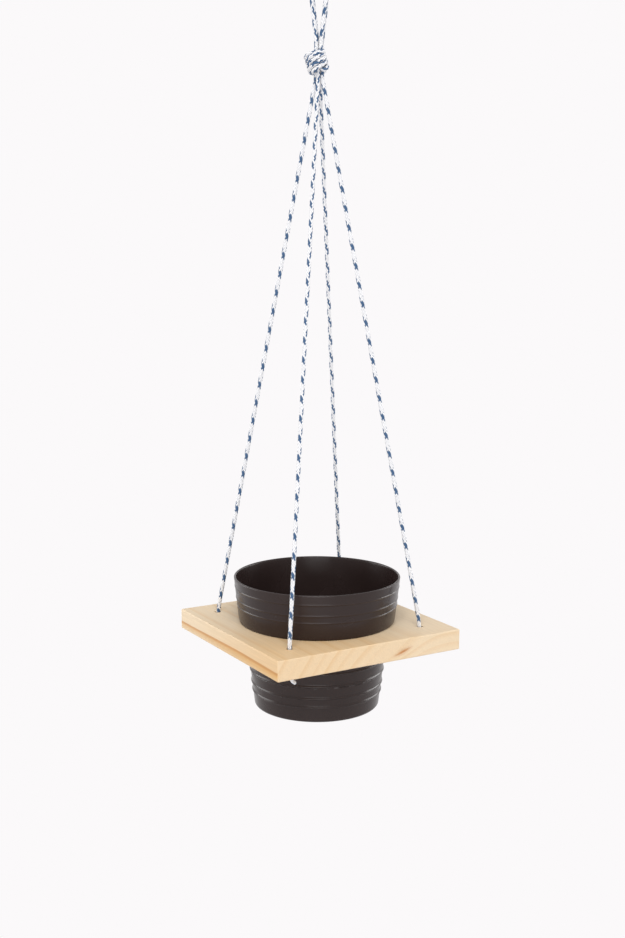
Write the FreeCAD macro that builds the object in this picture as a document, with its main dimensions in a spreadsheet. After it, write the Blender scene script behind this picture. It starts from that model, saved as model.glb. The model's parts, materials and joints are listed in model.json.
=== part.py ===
"""Hanging planter: a square pine board on four knotted cords, with a ribbed pot seated in it.

The origin is the point where the hook touches the loop, +Z is up, and the board's
edges run along X and Y. Lengths are millimetres.
"""
import FreeCAD, Part
import math
import os

import Sketcher
from FreeCAD import Vector

# Driving dimensions: alias, value, meaning
DIMENSIONS = [
    ("board_drop", 607.0, "hook contact down to the board's top face"),
    ("board_side", 203.0, "side of the square board"),
    ("board_thickness", 20.0, "planed thickness of the board"),
    ("board_edge_bevel", 1.0, "sanded bevel on the board's outer edges"),
    ("seat_edge_bevel", 0.8, "sanded bevel on the edges of the pot's hole"),
    ("seat_clearance", 3.0, "gap all round between the hole and the pot's body"),
    ("cord_hole_inset", 28.0, "cord hole's centre in from both edges"),
    ("cord_hole_clearance", 1.25, "gap all round between a cord and its hole"),
    ("cord_diameter", 4.0, "braided cord, unsqueezed"),
    ("cord_clearance", 0.3, "gap between cords that run side by side"),
    ("hook_diameter", 12.0, "bar of the hook that the loop goes over"),
    ("loop_drop", 60.0, "hook contact down to the top of the gathering knot"),
    ("neck_length", 8.0, "upright bundle between the loop's arms and the knot"),
    ("knot_strand", 3.2, "cord squeezed in the gathering knot"),
    ("stopper_strand", 3.3, "cord squeezed in a stopper knot"),
    ("strand_clearance", 0.6, "gap between strands inside a knot"),
    ("stopper_seat_gap", 0.3, "gap between a stopper knot and the board"),
    ("stopper_tail", 5.0, "cut end of the cord below its stopper knot"),
    ("pot_rim_diameter", 165.0, "outside of the pot at its rim"),
    ("pot_collar_height", 45.0, "collar of the pot, from the ledge up to the rim"),
    ("pot_ledge_width", 5.5, "step in from the collar to the body"),
    ("pot_body_diameter", 144.0, "outside of the body under the ledge"),
    ("pot_base_diameter", 124.0, "outside of the body at the base"),
    ("pot_body_depth", 86.0, "ledge down to the underside of the pot"),
    ("pot_wall", 2.2, "thickness of the pot's wall"),
    ("pot_floor", 3.0, "thickness of the pot's floor"),
    ("pot_base_bevel", 3.0, "bevel at the foot of the body"),
    ("rib_width", 3.2, "width of a moulded ring at its foot"),
    ("rib_height", 0.9, "how far a moulded ring stands out"),
    ("collar_rib_top", 35.5, "upper ring of the collar, above the ledge"),
    ("collar_rib_middle", 24.5, "middle ring of the collar, above the ledge"),
    ("collar_rib_bottom", 17.5, "lower ring of the collar, above the ledge"),
    ("body_rib_first", 36.5, "first ring of the body, below the ledge"),
    ("body_rib_pitch", 12.6, "spacing of the body's rings"),
    ("foot_rib", 70.5, "last ring of the body, below the ledge"),
]
BODY_RIBS = 3

# Corner names in turn round the board, from the corner at +X +Y
CORNERS = ["back", "left", "front", "right"]
QUARTER = math.pi / 2

# Shares of the strand pitch that give the gathering knot its form
KNOT_CORE_HALF = 1.51
KNOT_END_HALF = 3.35
KNOT_LEAD = 4.2
KNOT_REACH_DOWN = 1.02
KNOT_REACH_ALONG = 1.98
KNOT_TURN = math.radians(51)
KNOT_SWEEP = 2 * math.pi + QUARTER / 2
KNOT_EASE = 0.45
KNOT_STUB = 0.2

# Shares of the strand pitch that give a stopper knot its form
STOPPER_CORE_HALF = 0.13
STOPPER_LEAD = 1.51
STOPPER_REACH_DOWN = 0.79
STOPPER_REACH_ALONG = 1.30
STOPPER_TURN = math.radians(119)
STOPPER_SWEEP = 3 * math.pi
STOPPER_SOFTEN = 0.02

# Cords are eight-sided. A knot's turns are short straight runs with mitred corners
CORD_SIDES = 8
EASE_RUNS = 3
TURN_RUNS = 6
KNOT_WRAP_RUNS = 14
STOPPER_WRAP_RUNS = 12
BEND_SHARE = 0.45
MITRED = 1
UP = Vector(0, 0, 1)
DOWN = Vector(0, 0, -1)

os.makedirs("parts", exist_ok=True)
doc = FreeCAD.newDocument("plant_hanger")
sheet = doc.addObject("Spreadsheet::Sheet", "dims")
for row, (alias, value, meaning) in enumerate(DIMENSIONS, start=1):
    sheet.set(f"A{row}", meaning)
    sheet.set(f"B{row}", str(value))
    sheet.setAlias(f"B{row}", alias)
doc.recompute()
size = {alias: float(sheet.get(alias)) for alias, _, _ in DIMENSIONS}


# Sketches and features

def polar(radius, angle, height):
    """A point from its distance and bearing about the upright axis."""
    return Vector(radius * math.cos(angle), radius * math.sin(angle), height)


LOOP_SPREAD = polar(1, -QUARTER / 2, 0)


def new_body(label):
    """An empty body whose label names its node."""
    body = doc.addObject("PartDesign::Body", label)
    body.Label = label
    return body


def new_sketch(body, name, role):
    """A sketch on one of the body's own origin planes."""
    plane = next(f for f in body.Origin.OriginFeatures if f.Role == role)
    sketch = body.newObject("Sketcher::SketchObject", name)
    sketch.AttachmentSupport = (plane, [""])
    sketch.MapMode = "FlatFace"
    return sketch


def bind(sketch, name, constraint, expression):
    """Adds a named constraint and ties it to the sheet."""
    index = sketch.addConstraint(constraint)
    sketch.renameConstraint(index, name)
    sketch.setExpression(f"Constraints.{name}", expression)


def add_square(sketch, expression):
    """A square centred on the sketch's origin."""
    half = size["board_side"] / 2
    corners = [Vector(-half, -half), Vector(half, -half), Vector(half, half), Vector(-half, half)]
    for start, end in zip(corners, corners[1:] + corners[:1]):
        sketch.addGeometry(Part.LineSegment(start, end))
    for line in range(4):
        sketch.addConstraint(Sketcher.Constraint("Coincident", line, 2, (line + 1) % 4, 1))
        sketch.addConstraint(Sketcher.Constraint(("Horizontal", "Vertical")[line % 2], line))
    sketch.addConstraint(Sketcher.Constraint("Symmetric", 0, 1, 2, 1, -1, 1))
    bind(sketch, "across", Sketcher.Constraint("DistanceX", 0, 1, 0, 2, 2 * half), expression)
    bind(sketch, "along", Sketcher.Constraint("DistanceY", 1, 1, 1, 2, 2 * half), expression)


def circular_edges(feature, wanted):
    """Names of a feature's circular edges whose circle is a wanted one."""
    return [
        f"Edge{n}" for n, edge in enumerate(feature.Shape.Edges, start=1)
        if not edge.Degenerated and isinstance(edge.Curve, Part.Circle) and wanted(edge.Curve)
    ]


def pocket_through(body, name, sketch):
    """A cut along the sketch's normal through the whole body."""
    before = body.Shape.Volume
    pocket = body.newObject("PartDesign::Pocket", name)
    pocket.Profile = sketch
    pocket.Type = "ThroughAll"
    pocket.Midplane = True
    doc.recompute()
    if body.Shape.Volume > before - 1.0:
        raise ValueError(f"{name} cut nothing")
    return pocket


# Board

def make_board():
    """Square board with a round seat for the pot and a cord hole at each corner."""
    body = new_body("board")
    body.setExpression("Placement.Base.z", "-dims.board_drop - dims.board_thickness")
    outline = new_sketch(body, "board_outline", "XY_Plane")
    add_square(outline, "dims.board_side")
    pad = body.newObject("PartDesign::Pad", "board_pad")
    pad.Profile = outline
    pad.setExpression("Length", "dims.board_thickness")
    doc.recompute()

    bevels = body.newObject("PartDesign::Chamfer", "board_bevels")
    bevels.Base = (pad, [f"Edge{n + 1}" for n in range(len(pad.Shape.Edges))])
    bevels.setExpression("Size", "dims.board_edge_bevel")
    doc.recompute()

    seat = new_sketch(body, "seat_circle", "XY_Plane")
    seat.addGeometry(Part.Circle(Vector(), UP, size["pot_body_diameter"] / 2))
    seat.addConstraint(Sketcher.Constraint("Coincident", 0, 3, -1, 1))
    bind(
        seat, "radius", Sketcher.Constraint("Radius", 0, size["pot_body_diameter"] / 2),
        "dims.pot_body_diameter / 2 + dims.seat_clearance",
    )
    seat_cut = pocket_through(body, "seat_cut", seat)
    bevel = body.newObject("PartDesign::Chamfer", "seat_bevel")
    body_radius = size["pot_body_diameter"] / 2
    bevel.Base = (seat_cut, circular_edges(seat_cut, lambda circle: circle.Radius > body_radius))
    bevel.setExpression("Size", "dims.seat_edge_bevel")
    doc.recompute()

    hole = new_sketch(body, "cord_hole", "XY_Plane")
    place = size["board_side"] / 2 - size["cord_hole_inset"]
    hole.addGeometry(Part.Circle(Vector(place, place), UP, size["cord_diameter"]))
    offset = "dims.board_side / 2 - dims.cord_hole_inset"
    bind(hole, "across", Sketcher.Constraint("DistanceX", -1, 1, 0, 3, place), offset)
    bind(hole, "along", Sketcher.Constraint("DistanceY", -1, 1, 0, 3, place), offset)
    bind(
        hole, "radius", Sketcher.Constraint("Radius", 0, size["cord_diameter"]),
        "dims.cord_diameter / 2 + dims.cord_hole_clearance",
    )
    hole_cut = pocket_through(body, "cord_hole_cut", hole)
    corners = body.newObject("PartDesign::PolarPattern", "corner_holes")
    corners.Originals = [hole_cut]
    corners.Axis = (next(f for f in body.Origin.OriginFeatures if f.Role == "Z_Axis"), [""])
    corners.Angle = 360
    corners.Occurrences = len(CORNERS)
    body.Tip = corners
    doc.recompute()
    return body


# Pot

def pot_section():
    """Corner points of the pot's half section, as expressions.

    Each point is (radius, height above the underside). The outer wall goes up from the
    base with a low ridge at each moulded ring, steps out at the ledge and follows the
    collar to the rim. The inner wall comes back down one wall thickness inside.
    """
    depth = "dims.pot_body_depth"
    foot_radius = "dims.pot_base_diameter / 2"
    body_radius = "dims.pot_body_diameter / 2"
    ledge_radius = f"({body_radius} + dims.pot_ledge_width)"
    rim_radius = "dims.pot_rim_diameter / 2"
    wall = "dims.pot_wall"

    def on_body(height):
        return f"{foot_radius} + ({body_radius} - {foot_radius}) * ({height}) / {depth}"

    def on_collar(height):
        rise = f"({height} - {depth}) / dims.pot_collar_height"
        return f"{ledge_radius} + ({rim_radius} - {ledge_radius}) * {rise}"

    def ring(middle, wall_radius):
        low, high = f"{middle} - dims.rib_width / 2", f"{middle} + dims.rib_width / 2"
        crest = f"{wall_radius(middle)} + dims.rib_height"
        return [(wall_radius(low), low), (crest, middle), (wall_radius(high), high)]

    points = [("0", "0"), (foot_radius, "0")]
    points += ring(f"{depth} - dims.foot_rib", on_body)
    for n in reversed(range(BODY_RIBS)):
        points += ring(f"{depth} - dims.body_rib_first - {n} * dims.body_rib_pitch", on_body)
    points += [(body_radius, depth), (ledge_radius, depth)]
    for place in ("bottom", "middle", "top"):
        points += ring(f"{depth} + dims.collar_rib_{place}", on_collar)
    top = f"{depth} + dims.pot_collar_height"
    points += [(rim_radius, top), (f"{rim_radius} - {wall}", top)]
    points += [(f"{radius} - {wall}", f"{depth} + {wall}") for radius in (ledge_radius, body_radius)]
    points += [(f"{on_body('dims.pot_floor')} - {wall}", "dims.pot_floor"), ("0", "dims.pot_floor")]
    return points


def make_pot():
    """Ribbed pot: one revolved section, with its ledge on the board's top face."""
    body = new_body("pot")
    body.setExpression("Placement.Base.z", "-dims.board_drop - dims.pot_body_depth")
    section = new_sketch(body, "pot_section", "XZ_Plane")
    points = pot_section()
    # The lines start on a rough oval, and the constraints take each corner to its place
    rough = [
        Vector(size["pot_rim_diameter"], 0) + polar(1, 2 * math.pi * n / len(points), 0)
        for n in range(len(points))
    ]
    for start, end in zip(rough, rough[1:] + rough[:1]):
        section.addGeometry(Part.LineSegment(start, end))
    for line, (radius, height) in enumerate(points):
        following = (line + 1) % len(points)
        section.addConstraint(Sketcher.Constraint("Coincident", line, 2, following, 1))
        across = Sketcher.Constraint("DistanceX", -1, 1, line, 1, rough[line].x)
        up = Sketcher.Constraint("DistanceY", -1, 1, line, 1, rough[line].y)
        bind(section, f"radius_{line}", across, radius)
        bind(section, f"height_{line}", up, height)
    turned = body.newObject("PartDesign::Revolution", "pot_turned")
    turned.Profile = section
    turned.ReferenceAxis = (section, ["V_Axis"])
    turned.Angle = 360
    doc.recompute()

    base_bevel = body.newObject("PartDesign::Chamfer", "base_bevel")
    near = size["pot_floor"] / 2
    base_bevel.Base = (turned, circular_edges(turned, lambda circle: circle.Center.z < near))
    base_bevel.setExpression("Size", "dims.pot_base_bevel")
    doc.recompute()
    return body


# Cord paths

def unit(vector):
    """The vector at length one."""
    return Vector(vector).normalize()


def eased_turn(start, leaving, end, arriving, runs):
    """Points of a cubic turn from one point to another, without its start.

    leaving and arriving are its handles: the way and the distance that the curve runs
    on from its start, and comes in to its end.
    """
    points = []
    for n in range(1, runs + 1):
        t = n / runs
        r = 1 - t
        ends = start * r**3 + end * t**3
        points.append(ends + (start + leaving) * (3 * r * r * t) + (end - arriving) * (3 * r * t * t))
    return points


def half_turned(points, bearing):
    """The stretch turned over about a level axis at this bearing, and run backwards."""
    axis = polar(1, bearing, 0)
    return [axis * (2 * axis.dot(point)) - point for point in reversed(points)]


def wound(winding, first, last, runs):
    """Points of a winding after its first bearing, up to its last."""
    return [winding(first + (last - first) * n / runs) for n in range(1, runs + 1)]


def heading(winding, bearing):
    """The way that a winding runs at a bearing."""
    step = 1e-4
    return unit(winding(bearing + step) - winding(bearing - step))


def gathering_strand(leg_slope):
    """One strand of the gathering knot, about the knot's centre.

    The strand comes down into the core at bearing 0, turns out below it, winds once
    and an eighth round all eight core strands, turns in above them and goes down
    through the core beside itself, into its leg.
    """
    pitch = size["knot_strand"] + size["strand_clearance"]
    core_radius = pitch / (2 * math.sin(QUARTER / 4))
    core, end = KNOT_CORE_HALF * pitch, KNOT_END_HALF * pitch
    ease = KNOT_EASE * (end - core)
    stub = KNOT_STUB * pitch
    climb = KNOT_LEAD * pitch / (2 * math.pi)

    def winding(bearing):
        return polar(core_radius + pitch, bearing, (bearing - KNOT_SWEEP / 2) * climb)

    top = polar(bundle_radius(), 0, end)
    entry = [top, top + DOWN * stub]
    entry += eased_turn(entry[1], DOWN * ease, polar(core_radius, 0, core), DOWN * ease, EASE_RUNS)
    core_foot = polar(core_radius, 0, -core)
    along = heading(winding, KNOT_TURN) * (KNOT_REACH_ALONG * pitch)
    down = DOWN * (KNOT_REACH_DOWN * pitch)
    turn = [core_foot] + eased_turn(core_foot, down, winding(KNOT_TURN), along, TURN_RUNS)
    winds = wound(winding, KNOT_TURN, KNOT_SWEEP - KNOT_TURN, KNOT_WRAP_RUNS)
    back = half_turned(turn, KNOT_SWEEP / 2)
    out_foot = polar(core_radius, KNOT_SWEEP, -core)
    foot = polar(bundle_radius(), KNOT_SWEEP, -end)
    stub_top = foot - leg_slope * stub
    leaving = eased_turn(out_foot, DOWN * ease, stub_top, leg_slope * ease, EASE_RUNS)
    return entry + turn + winds + back[1:] + [out_foot] + leaving + [foot]


def stopper_strand():
    """A stopper knot about its centre: an overhand knot drawn tight.

    The strand comes down at +X, turns out below, winds one and a half times round
    itself and its own end, turns in above and goes down at -X into its cut end. The
    winding's radius keeps one pitch from both upright strands.
    """
    pitch = size["stopper_strand"] + size["strand_clearance"]
    beside = pitch / 2
    climb = STOPPER_LEAD * pitch / (2 * math.pi)

    def winding(bearing):
        along = math.sqrt(math.cos(bearing) ** 2 + STOPPER_SOFTEN)
        radius = beside * (along + math.sqrt(along * along + 3))
        return polar(radius, bearing, (bearing - STOPPER_SWEEP / 2) * climb)

    core_foot = Vector(beside, 0, -STOPPER_CORE_HALF * pitch)
    along = heading(winding, STOPPER_TURN) * (STOPPER_REACH_ALONG * pitch)
    down = DOWN * (STOPPER_REACH_DOWN * pitch)
    turn = [core_foot] + eased_turn(core_foot, down, winding(STOPPER_TURN), along, TURN_RUNS)
    winds = wound(winding, STOPPER_TURN, STOPPER_SWEEP - STOPPER_TURN, STOPPER_WRAP_RUNS)
    back = half_turned(turn, STOPPER_SWEEP / 2)
    reach = max(abs(point.z) for point in turn) + pitch / 2
    tail = Vector(-beside, 0, -reach - size["stopper_tail"])
    return [Vector(beside, 0, reach)] + turn + winds + back[1:] + [tail]


# Cord tubes

def bundle_radius():
    """Distance of four upright cords, packed two by two, from their common axis."""
    return (size["cord_diameter"] + size["cord_clearance"]) / math.sqrt(2)


def straight_runs(points):
    """Edges straight from point to point."""
    return [Part.LineSegment(a, b).toShape() for a, b in zip(points, points[1:])]


def bent_run(start, corner, end):
    """Two straight runs and the tangent arc between them, as large as the runs allow."""
    back, ahead = start - corner, end - corner
    cut = BEND_SHARE * min(back.Length, ahead.Length)
    inner, outer = corner + unit(back) * cut, corner + unit(ahead) * cut
    half_turn = (math.pi - back.getAngle(ahead)) / 2
    radius = cut / math.tan(half_turn)
    depth = radius / math.cos(half_turn) - radius
    middle = corner + unit(unit(back) + unit(ahead)) * depth
    return [
        Part.LineSegment(start, inner).toShape(),
        Part.Arc(inner, middle, outer).toShape(),
        Part.LineSegment(outer, end).toShape(),
    ]


def tube(name, edges, diameter):
    """An eight-sided cord along edges, checked against its section times its length."""
    path = Part.Wire(edges)
    start = edges[0].valueAt(edges[0].FirstParameter)
    along = edges[0].tangentAt(edges[0].FirstParameter)
    side = FreeCAD.Rotation(along, 360 / CORD_SIDES)
    spoke = unit(along.cross(LOOP_SPREAD)) * (diameter / 2)
    spoke = FreeCAD.Rotation(along, 180 / CORD_SIDES).multVec(spoke)
    corners = [start + spoke]
    for _ in range(CORD_SIDES):
        spoke = side.multVec(spoke)
        corners.append(start + spoke)
    section = Part.makePolygon(corners)
    shell = Part.BRepOffsetAPI.MakePipeShell(path)
    shell.setTransitionMode(MITRED)
    shell.add(section)
    shell.build()
    shell.makeSolid()
    solid = shell.shape()
    share = solid.Volume / (Part.Face(section).Area * path.Length)
    bends = [f"{edge.Curve.Radius:.1f}" for edge in edges if isinstance(edge.Curve, Part.Circle)]
    print(f"{name}: length {path.Length:.1f}, volume share {share:.4f}, bends {', '.join(bends) or 'none'}")
    return solid


def least_gap(points, diameter, others=()):
    """Least gap of a strand to itself and to other strands, measured on points."""
    spacing = diameter / 8
    past_own_turn = int(2.4 * diameter / spacing)
    own = Part.makePolygon(points).discretize(Distance=spacing)
    least = min((a - b).Length for n, a in enumerate(own) for b in own[n + past_own_turn:])
    for other in others:
        theirs = Part.makePolygon(other).discretize(Distance=spacing)
        least = min(least, min((a - b).Length for a in own for b in theirs))
    return least - diameter


def turned(points, angle):
    """Points turned about the upright axis."""
    turn = FreeCAD.Rotation(UP, math.degrees(angle))
    return [turn.multVec(point) for point in points]


def add_feature(label, shape, angle=0):
    """A node with a ready-made shape, turned about the upright axis."""
    feature = doc.addObject("Part::Feature", label)
    feature.Label = label
    feature.Shape = shape
    feature.Placement = FreeCAD.Placement(Vector(), FreeCAD.Rotation(UP, math.degrees(angle)))
    return feature


# Gathering knot, legs and stopper knots

def make_cradle():
    """The knot that gathers the cords, their four taut legs and the knots under the board."""
    pitch = size["knot_strand"] + size["strand_clearance"]
    half = KNOT_END_HALF * pitch
    leg_top = polar(bundle_radius(), KNOT_SWEEP, -size["loop_drop"] - 2 * half)
    hole_radius = (size["board_side"] / 2 - size["cord_hole_inset"]) * math.sqrt(2)
    hole_mouth = polar(hole_radius, KNOT_SWEEP, -size["board_drop"])
    leg_end = hole_mouth + DOWN * (size["board_thickness"] + size["stopper_seat_gap"])

    strand = gathering_strand(unit(hole_mouth - leg_top))
    others = [turned(strand, n * QUARTER) for n in range(1, len(CORNERS))]
    print(f"gathering knot: least gap {least_gap(strand, size['knot_strand'], others):.2f}")
    centre = DOWN * (size["loop_drop"] + half)
    strands = [
        tube("knot strand", straight_runs([point + centre for point in points]), size["knot_strand"])
        for points in [strand] + others
    ]
    nodes = [add_feature("gathering_knot", Part.makeCompound(strands))]

    leg = tube("leg", bent_run(leg_top, hole_mouth, leg_end), size["cord_diameter"])
    # The strand that comes into a stopper knot is in line with the hole
    stopper = stopper_strand()
    print(f"stopper knot: least gap {least_gap(stopper, size['stopper_strand']):.2f}")
    placed = turned([point - stopper[0] for point in stopper], KNOT_SWEEP)
    knot = tube("stopper", straight_runs([point + leg_end for point in placed]), size["stopper_strand"])
    for n, corner in enumerate(CORNERS):
        nodes.append(add_feature(f"cord_leg_{corner}", leg, n * QUARTER))
        nodes.append(add_feature(f"stopper_knot_{corner}", knot, n * QUARTER))
    return nodes


# Loop over the hook

def make_loop():
    """Two cords side by side over the hook, their four arms and the neck above the knot.

    The loop stands in the plane of the left and right corners. Its two cords lie one
    before the other along the hook's bar.
    """
    along_bar = polar(1, QUARTER / 2, 0)
    beside = (size["cord_diameter"] + size["cord_clearance"]) / 2
    bar = size["hook_diameter"] / 2
    bend = bar + size["cord_diameter"] / 2
    neck_top = size["neck_length"] - size["loop_drop"]

    # An arm is the tangent from the neck's corner to the cord's circle round the bar
    reach = math.hypot(beside, bar + neck_top)
    bearing = math.atan2(neck_top + bar, beside) + math.acos(bend / reach)
    touch_out, touch_up = bend * math.cos(bearing), bend * math.sin(bearing) - bar

    nodes = []
    arms = []
    for label, side in (("near", -1), ("far", 1)):
        shift = along_bar * (side * beside)
        touches = [shift + LOOP_SPREAD * (hand * touch_out) + UP * touch_up for hand in (1, -1)]
        crown = Part.Arc(touches[0], shift + UP * (bend - bar), touches[1]).toShape()
        nodes.append(add_feature(f"loop_crown_{label}", tube("crown", [crown], size["cord_diameter"])))
        for hand, touch in zip((1, -1), touches):
            corner = shift + LOOP_SPREAD * (hand * beside) + UP * neck_top
            knot_top = corner + DOWN * size["neck_length"]
            arm, corner_bend, _ = bent_run(touch, corner, knot_top)
            arms.append(tube("arm", [arm, corner_bend], size["cord_diameter"]))
            arm_foot = corner_bend.valueAt(corner_bend.LastParameter)
    nodes.append(add_feature("loop_arms", Part.makeCompound(arms)))

    neck = doc.addObject("Part::Compound", "loop_neck")
    neck.Label = "loop_neck"
    strands = []
    for n in range(len(CORNERS)):
        strand = doc.addObject("Part::Prism", f"neck_strand_{n}")
        strand.Polygon = CORD_SIDES
        strand.setExpression("Circumradius", "dims.cord_diameter / 2")
        strand.Height = arm_foot.z + size["loop_drop"]
        strand.Placement.Base = polar(bundle_radius(), n * QUARTER, -size["loop_drop"])
        strands.append(strand)
    neck.Links = strands
    return nodes + [neck]


nodes = [make_board(), make_pot()] + make_cradle() + make_loop()
doc.recompute()
for item in doc.Objects:
    if "Invalid" in item.State or "Error" in item.State:
        raise ValueError(f"{item.Label} failed: {item.State}")
for node in nodes:
    if node.Shape.isNull() or not node.Shape.isValid():
        raise ValueError(f"{node.Label} has no valid shape")
for node in nodes:
    node.Shape.exportStep(f"parts/{node.Label}.step")
    print(f"{node.Label}: {len(node.Shape.Solids)} solids, {node.Shape.Volume:.0f} mm3")
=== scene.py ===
"""Looks of a hanging planter: a pine board on four braided cords, with a ribbed pot seated in it.

Lengths are metres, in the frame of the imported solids: the origin is where the hook touches
the hanging loop, +Z is up, and the board's edges run along X and Y.
"""

import json
import logging
import math
from dataclasses import dataclass, replace
from enum import Enum
from typing import Any, ClassVar

import bpy
import numpy as np
from mathutils import Matrix, Vector
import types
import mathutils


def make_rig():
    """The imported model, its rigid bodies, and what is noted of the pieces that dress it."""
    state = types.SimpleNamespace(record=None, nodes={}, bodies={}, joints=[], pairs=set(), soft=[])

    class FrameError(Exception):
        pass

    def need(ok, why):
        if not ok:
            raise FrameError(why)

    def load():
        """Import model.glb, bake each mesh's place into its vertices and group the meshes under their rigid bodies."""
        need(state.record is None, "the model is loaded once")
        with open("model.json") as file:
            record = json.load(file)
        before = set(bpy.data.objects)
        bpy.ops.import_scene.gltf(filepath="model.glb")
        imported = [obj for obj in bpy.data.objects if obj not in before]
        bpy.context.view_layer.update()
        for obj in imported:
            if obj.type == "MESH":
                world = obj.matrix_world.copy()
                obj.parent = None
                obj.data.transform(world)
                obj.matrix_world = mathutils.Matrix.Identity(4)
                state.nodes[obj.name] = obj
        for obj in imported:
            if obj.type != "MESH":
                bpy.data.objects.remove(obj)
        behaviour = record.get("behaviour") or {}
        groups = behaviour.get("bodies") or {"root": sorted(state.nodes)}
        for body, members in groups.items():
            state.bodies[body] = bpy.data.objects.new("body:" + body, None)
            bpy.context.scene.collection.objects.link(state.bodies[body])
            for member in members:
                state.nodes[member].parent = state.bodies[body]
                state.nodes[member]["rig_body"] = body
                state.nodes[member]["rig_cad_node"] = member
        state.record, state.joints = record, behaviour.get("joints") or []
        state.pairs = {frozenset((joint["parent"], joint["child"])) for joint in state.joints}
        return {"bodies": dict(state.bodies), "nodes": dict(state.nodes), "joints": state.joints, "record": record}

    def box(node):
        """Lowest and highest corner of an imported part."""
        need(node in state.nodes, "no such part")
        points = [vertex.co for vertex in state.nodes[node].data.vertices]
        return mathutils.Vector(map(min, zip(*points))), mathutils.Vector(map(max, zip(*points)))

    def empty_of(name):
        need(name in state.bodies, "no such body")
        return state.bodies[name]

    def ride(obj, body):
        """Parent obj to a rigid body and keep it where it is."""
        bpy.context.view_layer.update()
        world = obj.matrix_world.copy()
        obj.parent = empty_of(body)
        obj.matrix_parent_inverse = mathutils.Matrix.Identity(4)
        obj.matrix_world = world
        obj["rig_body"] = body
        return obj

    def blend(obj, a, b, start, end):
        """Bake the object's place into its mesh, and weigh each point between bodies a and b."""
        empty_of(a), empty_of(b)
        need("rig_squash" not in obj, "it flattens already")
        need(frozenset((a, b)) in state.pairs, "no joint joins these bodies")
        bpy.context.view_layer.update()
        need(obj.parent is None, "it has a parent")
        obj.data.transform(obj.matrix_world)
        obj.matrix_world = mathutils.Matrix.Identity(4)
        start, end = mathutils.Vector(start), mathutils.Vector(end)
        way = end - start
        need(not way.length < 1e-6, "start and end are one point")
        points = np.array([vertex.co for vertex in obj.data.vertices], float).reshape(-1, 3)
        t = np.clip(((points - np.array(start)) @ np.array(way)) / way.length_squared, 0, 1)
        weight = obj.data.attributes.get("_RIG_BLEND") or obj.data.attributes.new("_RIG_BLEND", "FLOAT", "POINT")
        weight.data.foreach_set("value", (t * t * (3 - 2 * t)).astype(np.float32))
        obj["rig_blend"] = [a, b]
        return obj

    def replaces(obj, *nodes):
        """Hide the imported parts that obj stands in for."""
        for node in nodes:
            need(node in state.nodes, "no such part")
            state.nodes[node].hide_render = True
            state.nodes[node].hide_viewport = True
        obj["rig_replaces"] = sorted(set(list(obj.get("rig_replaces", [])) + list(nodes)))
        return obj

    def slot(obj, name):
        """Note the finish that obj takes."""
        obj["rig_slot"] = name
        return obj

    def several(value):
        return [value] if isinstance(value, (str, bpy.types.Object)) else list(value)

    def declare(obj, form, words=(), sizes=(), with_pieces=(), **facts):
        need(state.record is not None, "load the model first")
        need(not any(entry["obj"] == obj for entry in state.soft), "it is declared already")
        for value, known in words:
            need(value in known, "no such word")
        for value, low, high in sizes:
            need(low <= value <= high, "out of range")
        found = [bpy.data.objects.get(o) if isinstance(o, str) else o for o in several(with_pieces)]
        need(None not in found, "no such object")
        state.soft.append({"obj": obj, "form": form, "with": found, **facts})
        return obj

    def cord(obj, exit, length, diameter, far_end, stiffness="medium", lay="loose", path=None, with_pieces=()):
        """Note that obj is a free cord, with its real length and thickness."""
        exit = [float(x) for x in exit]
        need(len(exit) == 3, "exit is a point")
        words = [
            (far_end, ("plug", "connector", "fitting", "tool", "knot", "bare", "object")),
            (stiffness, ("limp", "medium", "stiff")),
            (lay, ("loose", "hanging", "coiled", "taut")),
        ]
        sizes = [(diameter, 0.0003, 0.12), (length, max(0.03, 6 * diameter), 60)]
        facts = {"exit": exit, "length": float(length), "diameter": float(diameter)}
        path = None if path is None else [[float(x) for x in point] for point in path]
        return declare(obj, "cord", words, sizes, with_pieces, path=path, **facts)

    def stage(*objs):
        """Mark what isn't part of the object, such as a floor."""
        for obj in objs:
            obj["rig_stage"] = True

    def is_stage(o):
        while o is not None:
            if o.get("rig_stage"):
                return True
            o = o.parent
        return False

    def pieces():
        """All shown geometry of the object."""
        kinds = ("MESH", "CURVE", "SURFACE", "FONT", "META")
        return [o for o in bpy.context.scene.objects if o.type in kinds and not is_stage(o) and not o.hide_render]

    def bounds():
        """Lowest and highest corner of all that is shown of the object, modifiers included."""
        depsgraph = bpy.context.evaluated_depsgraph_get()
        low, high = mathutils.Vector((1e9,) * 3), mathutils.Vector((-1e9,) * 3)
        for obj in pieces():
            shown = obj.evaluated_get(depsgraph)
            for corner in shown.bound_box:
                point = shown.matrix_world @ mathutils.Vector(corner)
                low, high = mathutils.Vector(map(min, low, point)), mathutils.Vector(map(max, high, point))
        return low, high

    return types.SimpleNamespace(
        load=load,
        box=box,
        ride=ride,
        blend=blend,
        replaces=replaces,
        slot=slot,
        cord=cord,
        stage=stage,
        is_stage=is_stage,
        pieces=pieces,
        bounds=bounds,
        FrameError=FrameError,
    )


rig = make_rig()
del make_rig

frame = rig.load()
CAD_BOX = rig.bounds()

LOG = logging.getLogger("plant_hanger")
MM = 0.001
QUARTER = math.pi / 2
DOWN = np.array([0.0, 0.0, -1.0])
SIZE_FILE = "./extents.json"
# How far the cord holes lie from the board's middle, along both of its edges
HOLE_PLACE = 73.5 * MM
# Steps drawn between a route's control points, a bearing small enough to take a winding's
# heading over, and a length that counts as none
ROUTE_STEPS = 32
NUDGE = 1e-4
TOLERANCE = 1e-9


class Corner(Enum):
    """The board's corners in turn, each a quarter turn on from the one at +X +Y."""

    BACK = 0
    LEFT = 1
    FRONT = 2
    RIGHT = 3

    @property
    def turn(self) -> float:
        """Angle about the upright axis from the back corner."""
        return self.value * QUARTER


class Slot(Enum):
    """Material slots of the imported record."""

    PINE = "pine"
    POT = "pot_plastic"
    CORD = "cord"


# Places and lines

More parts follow.
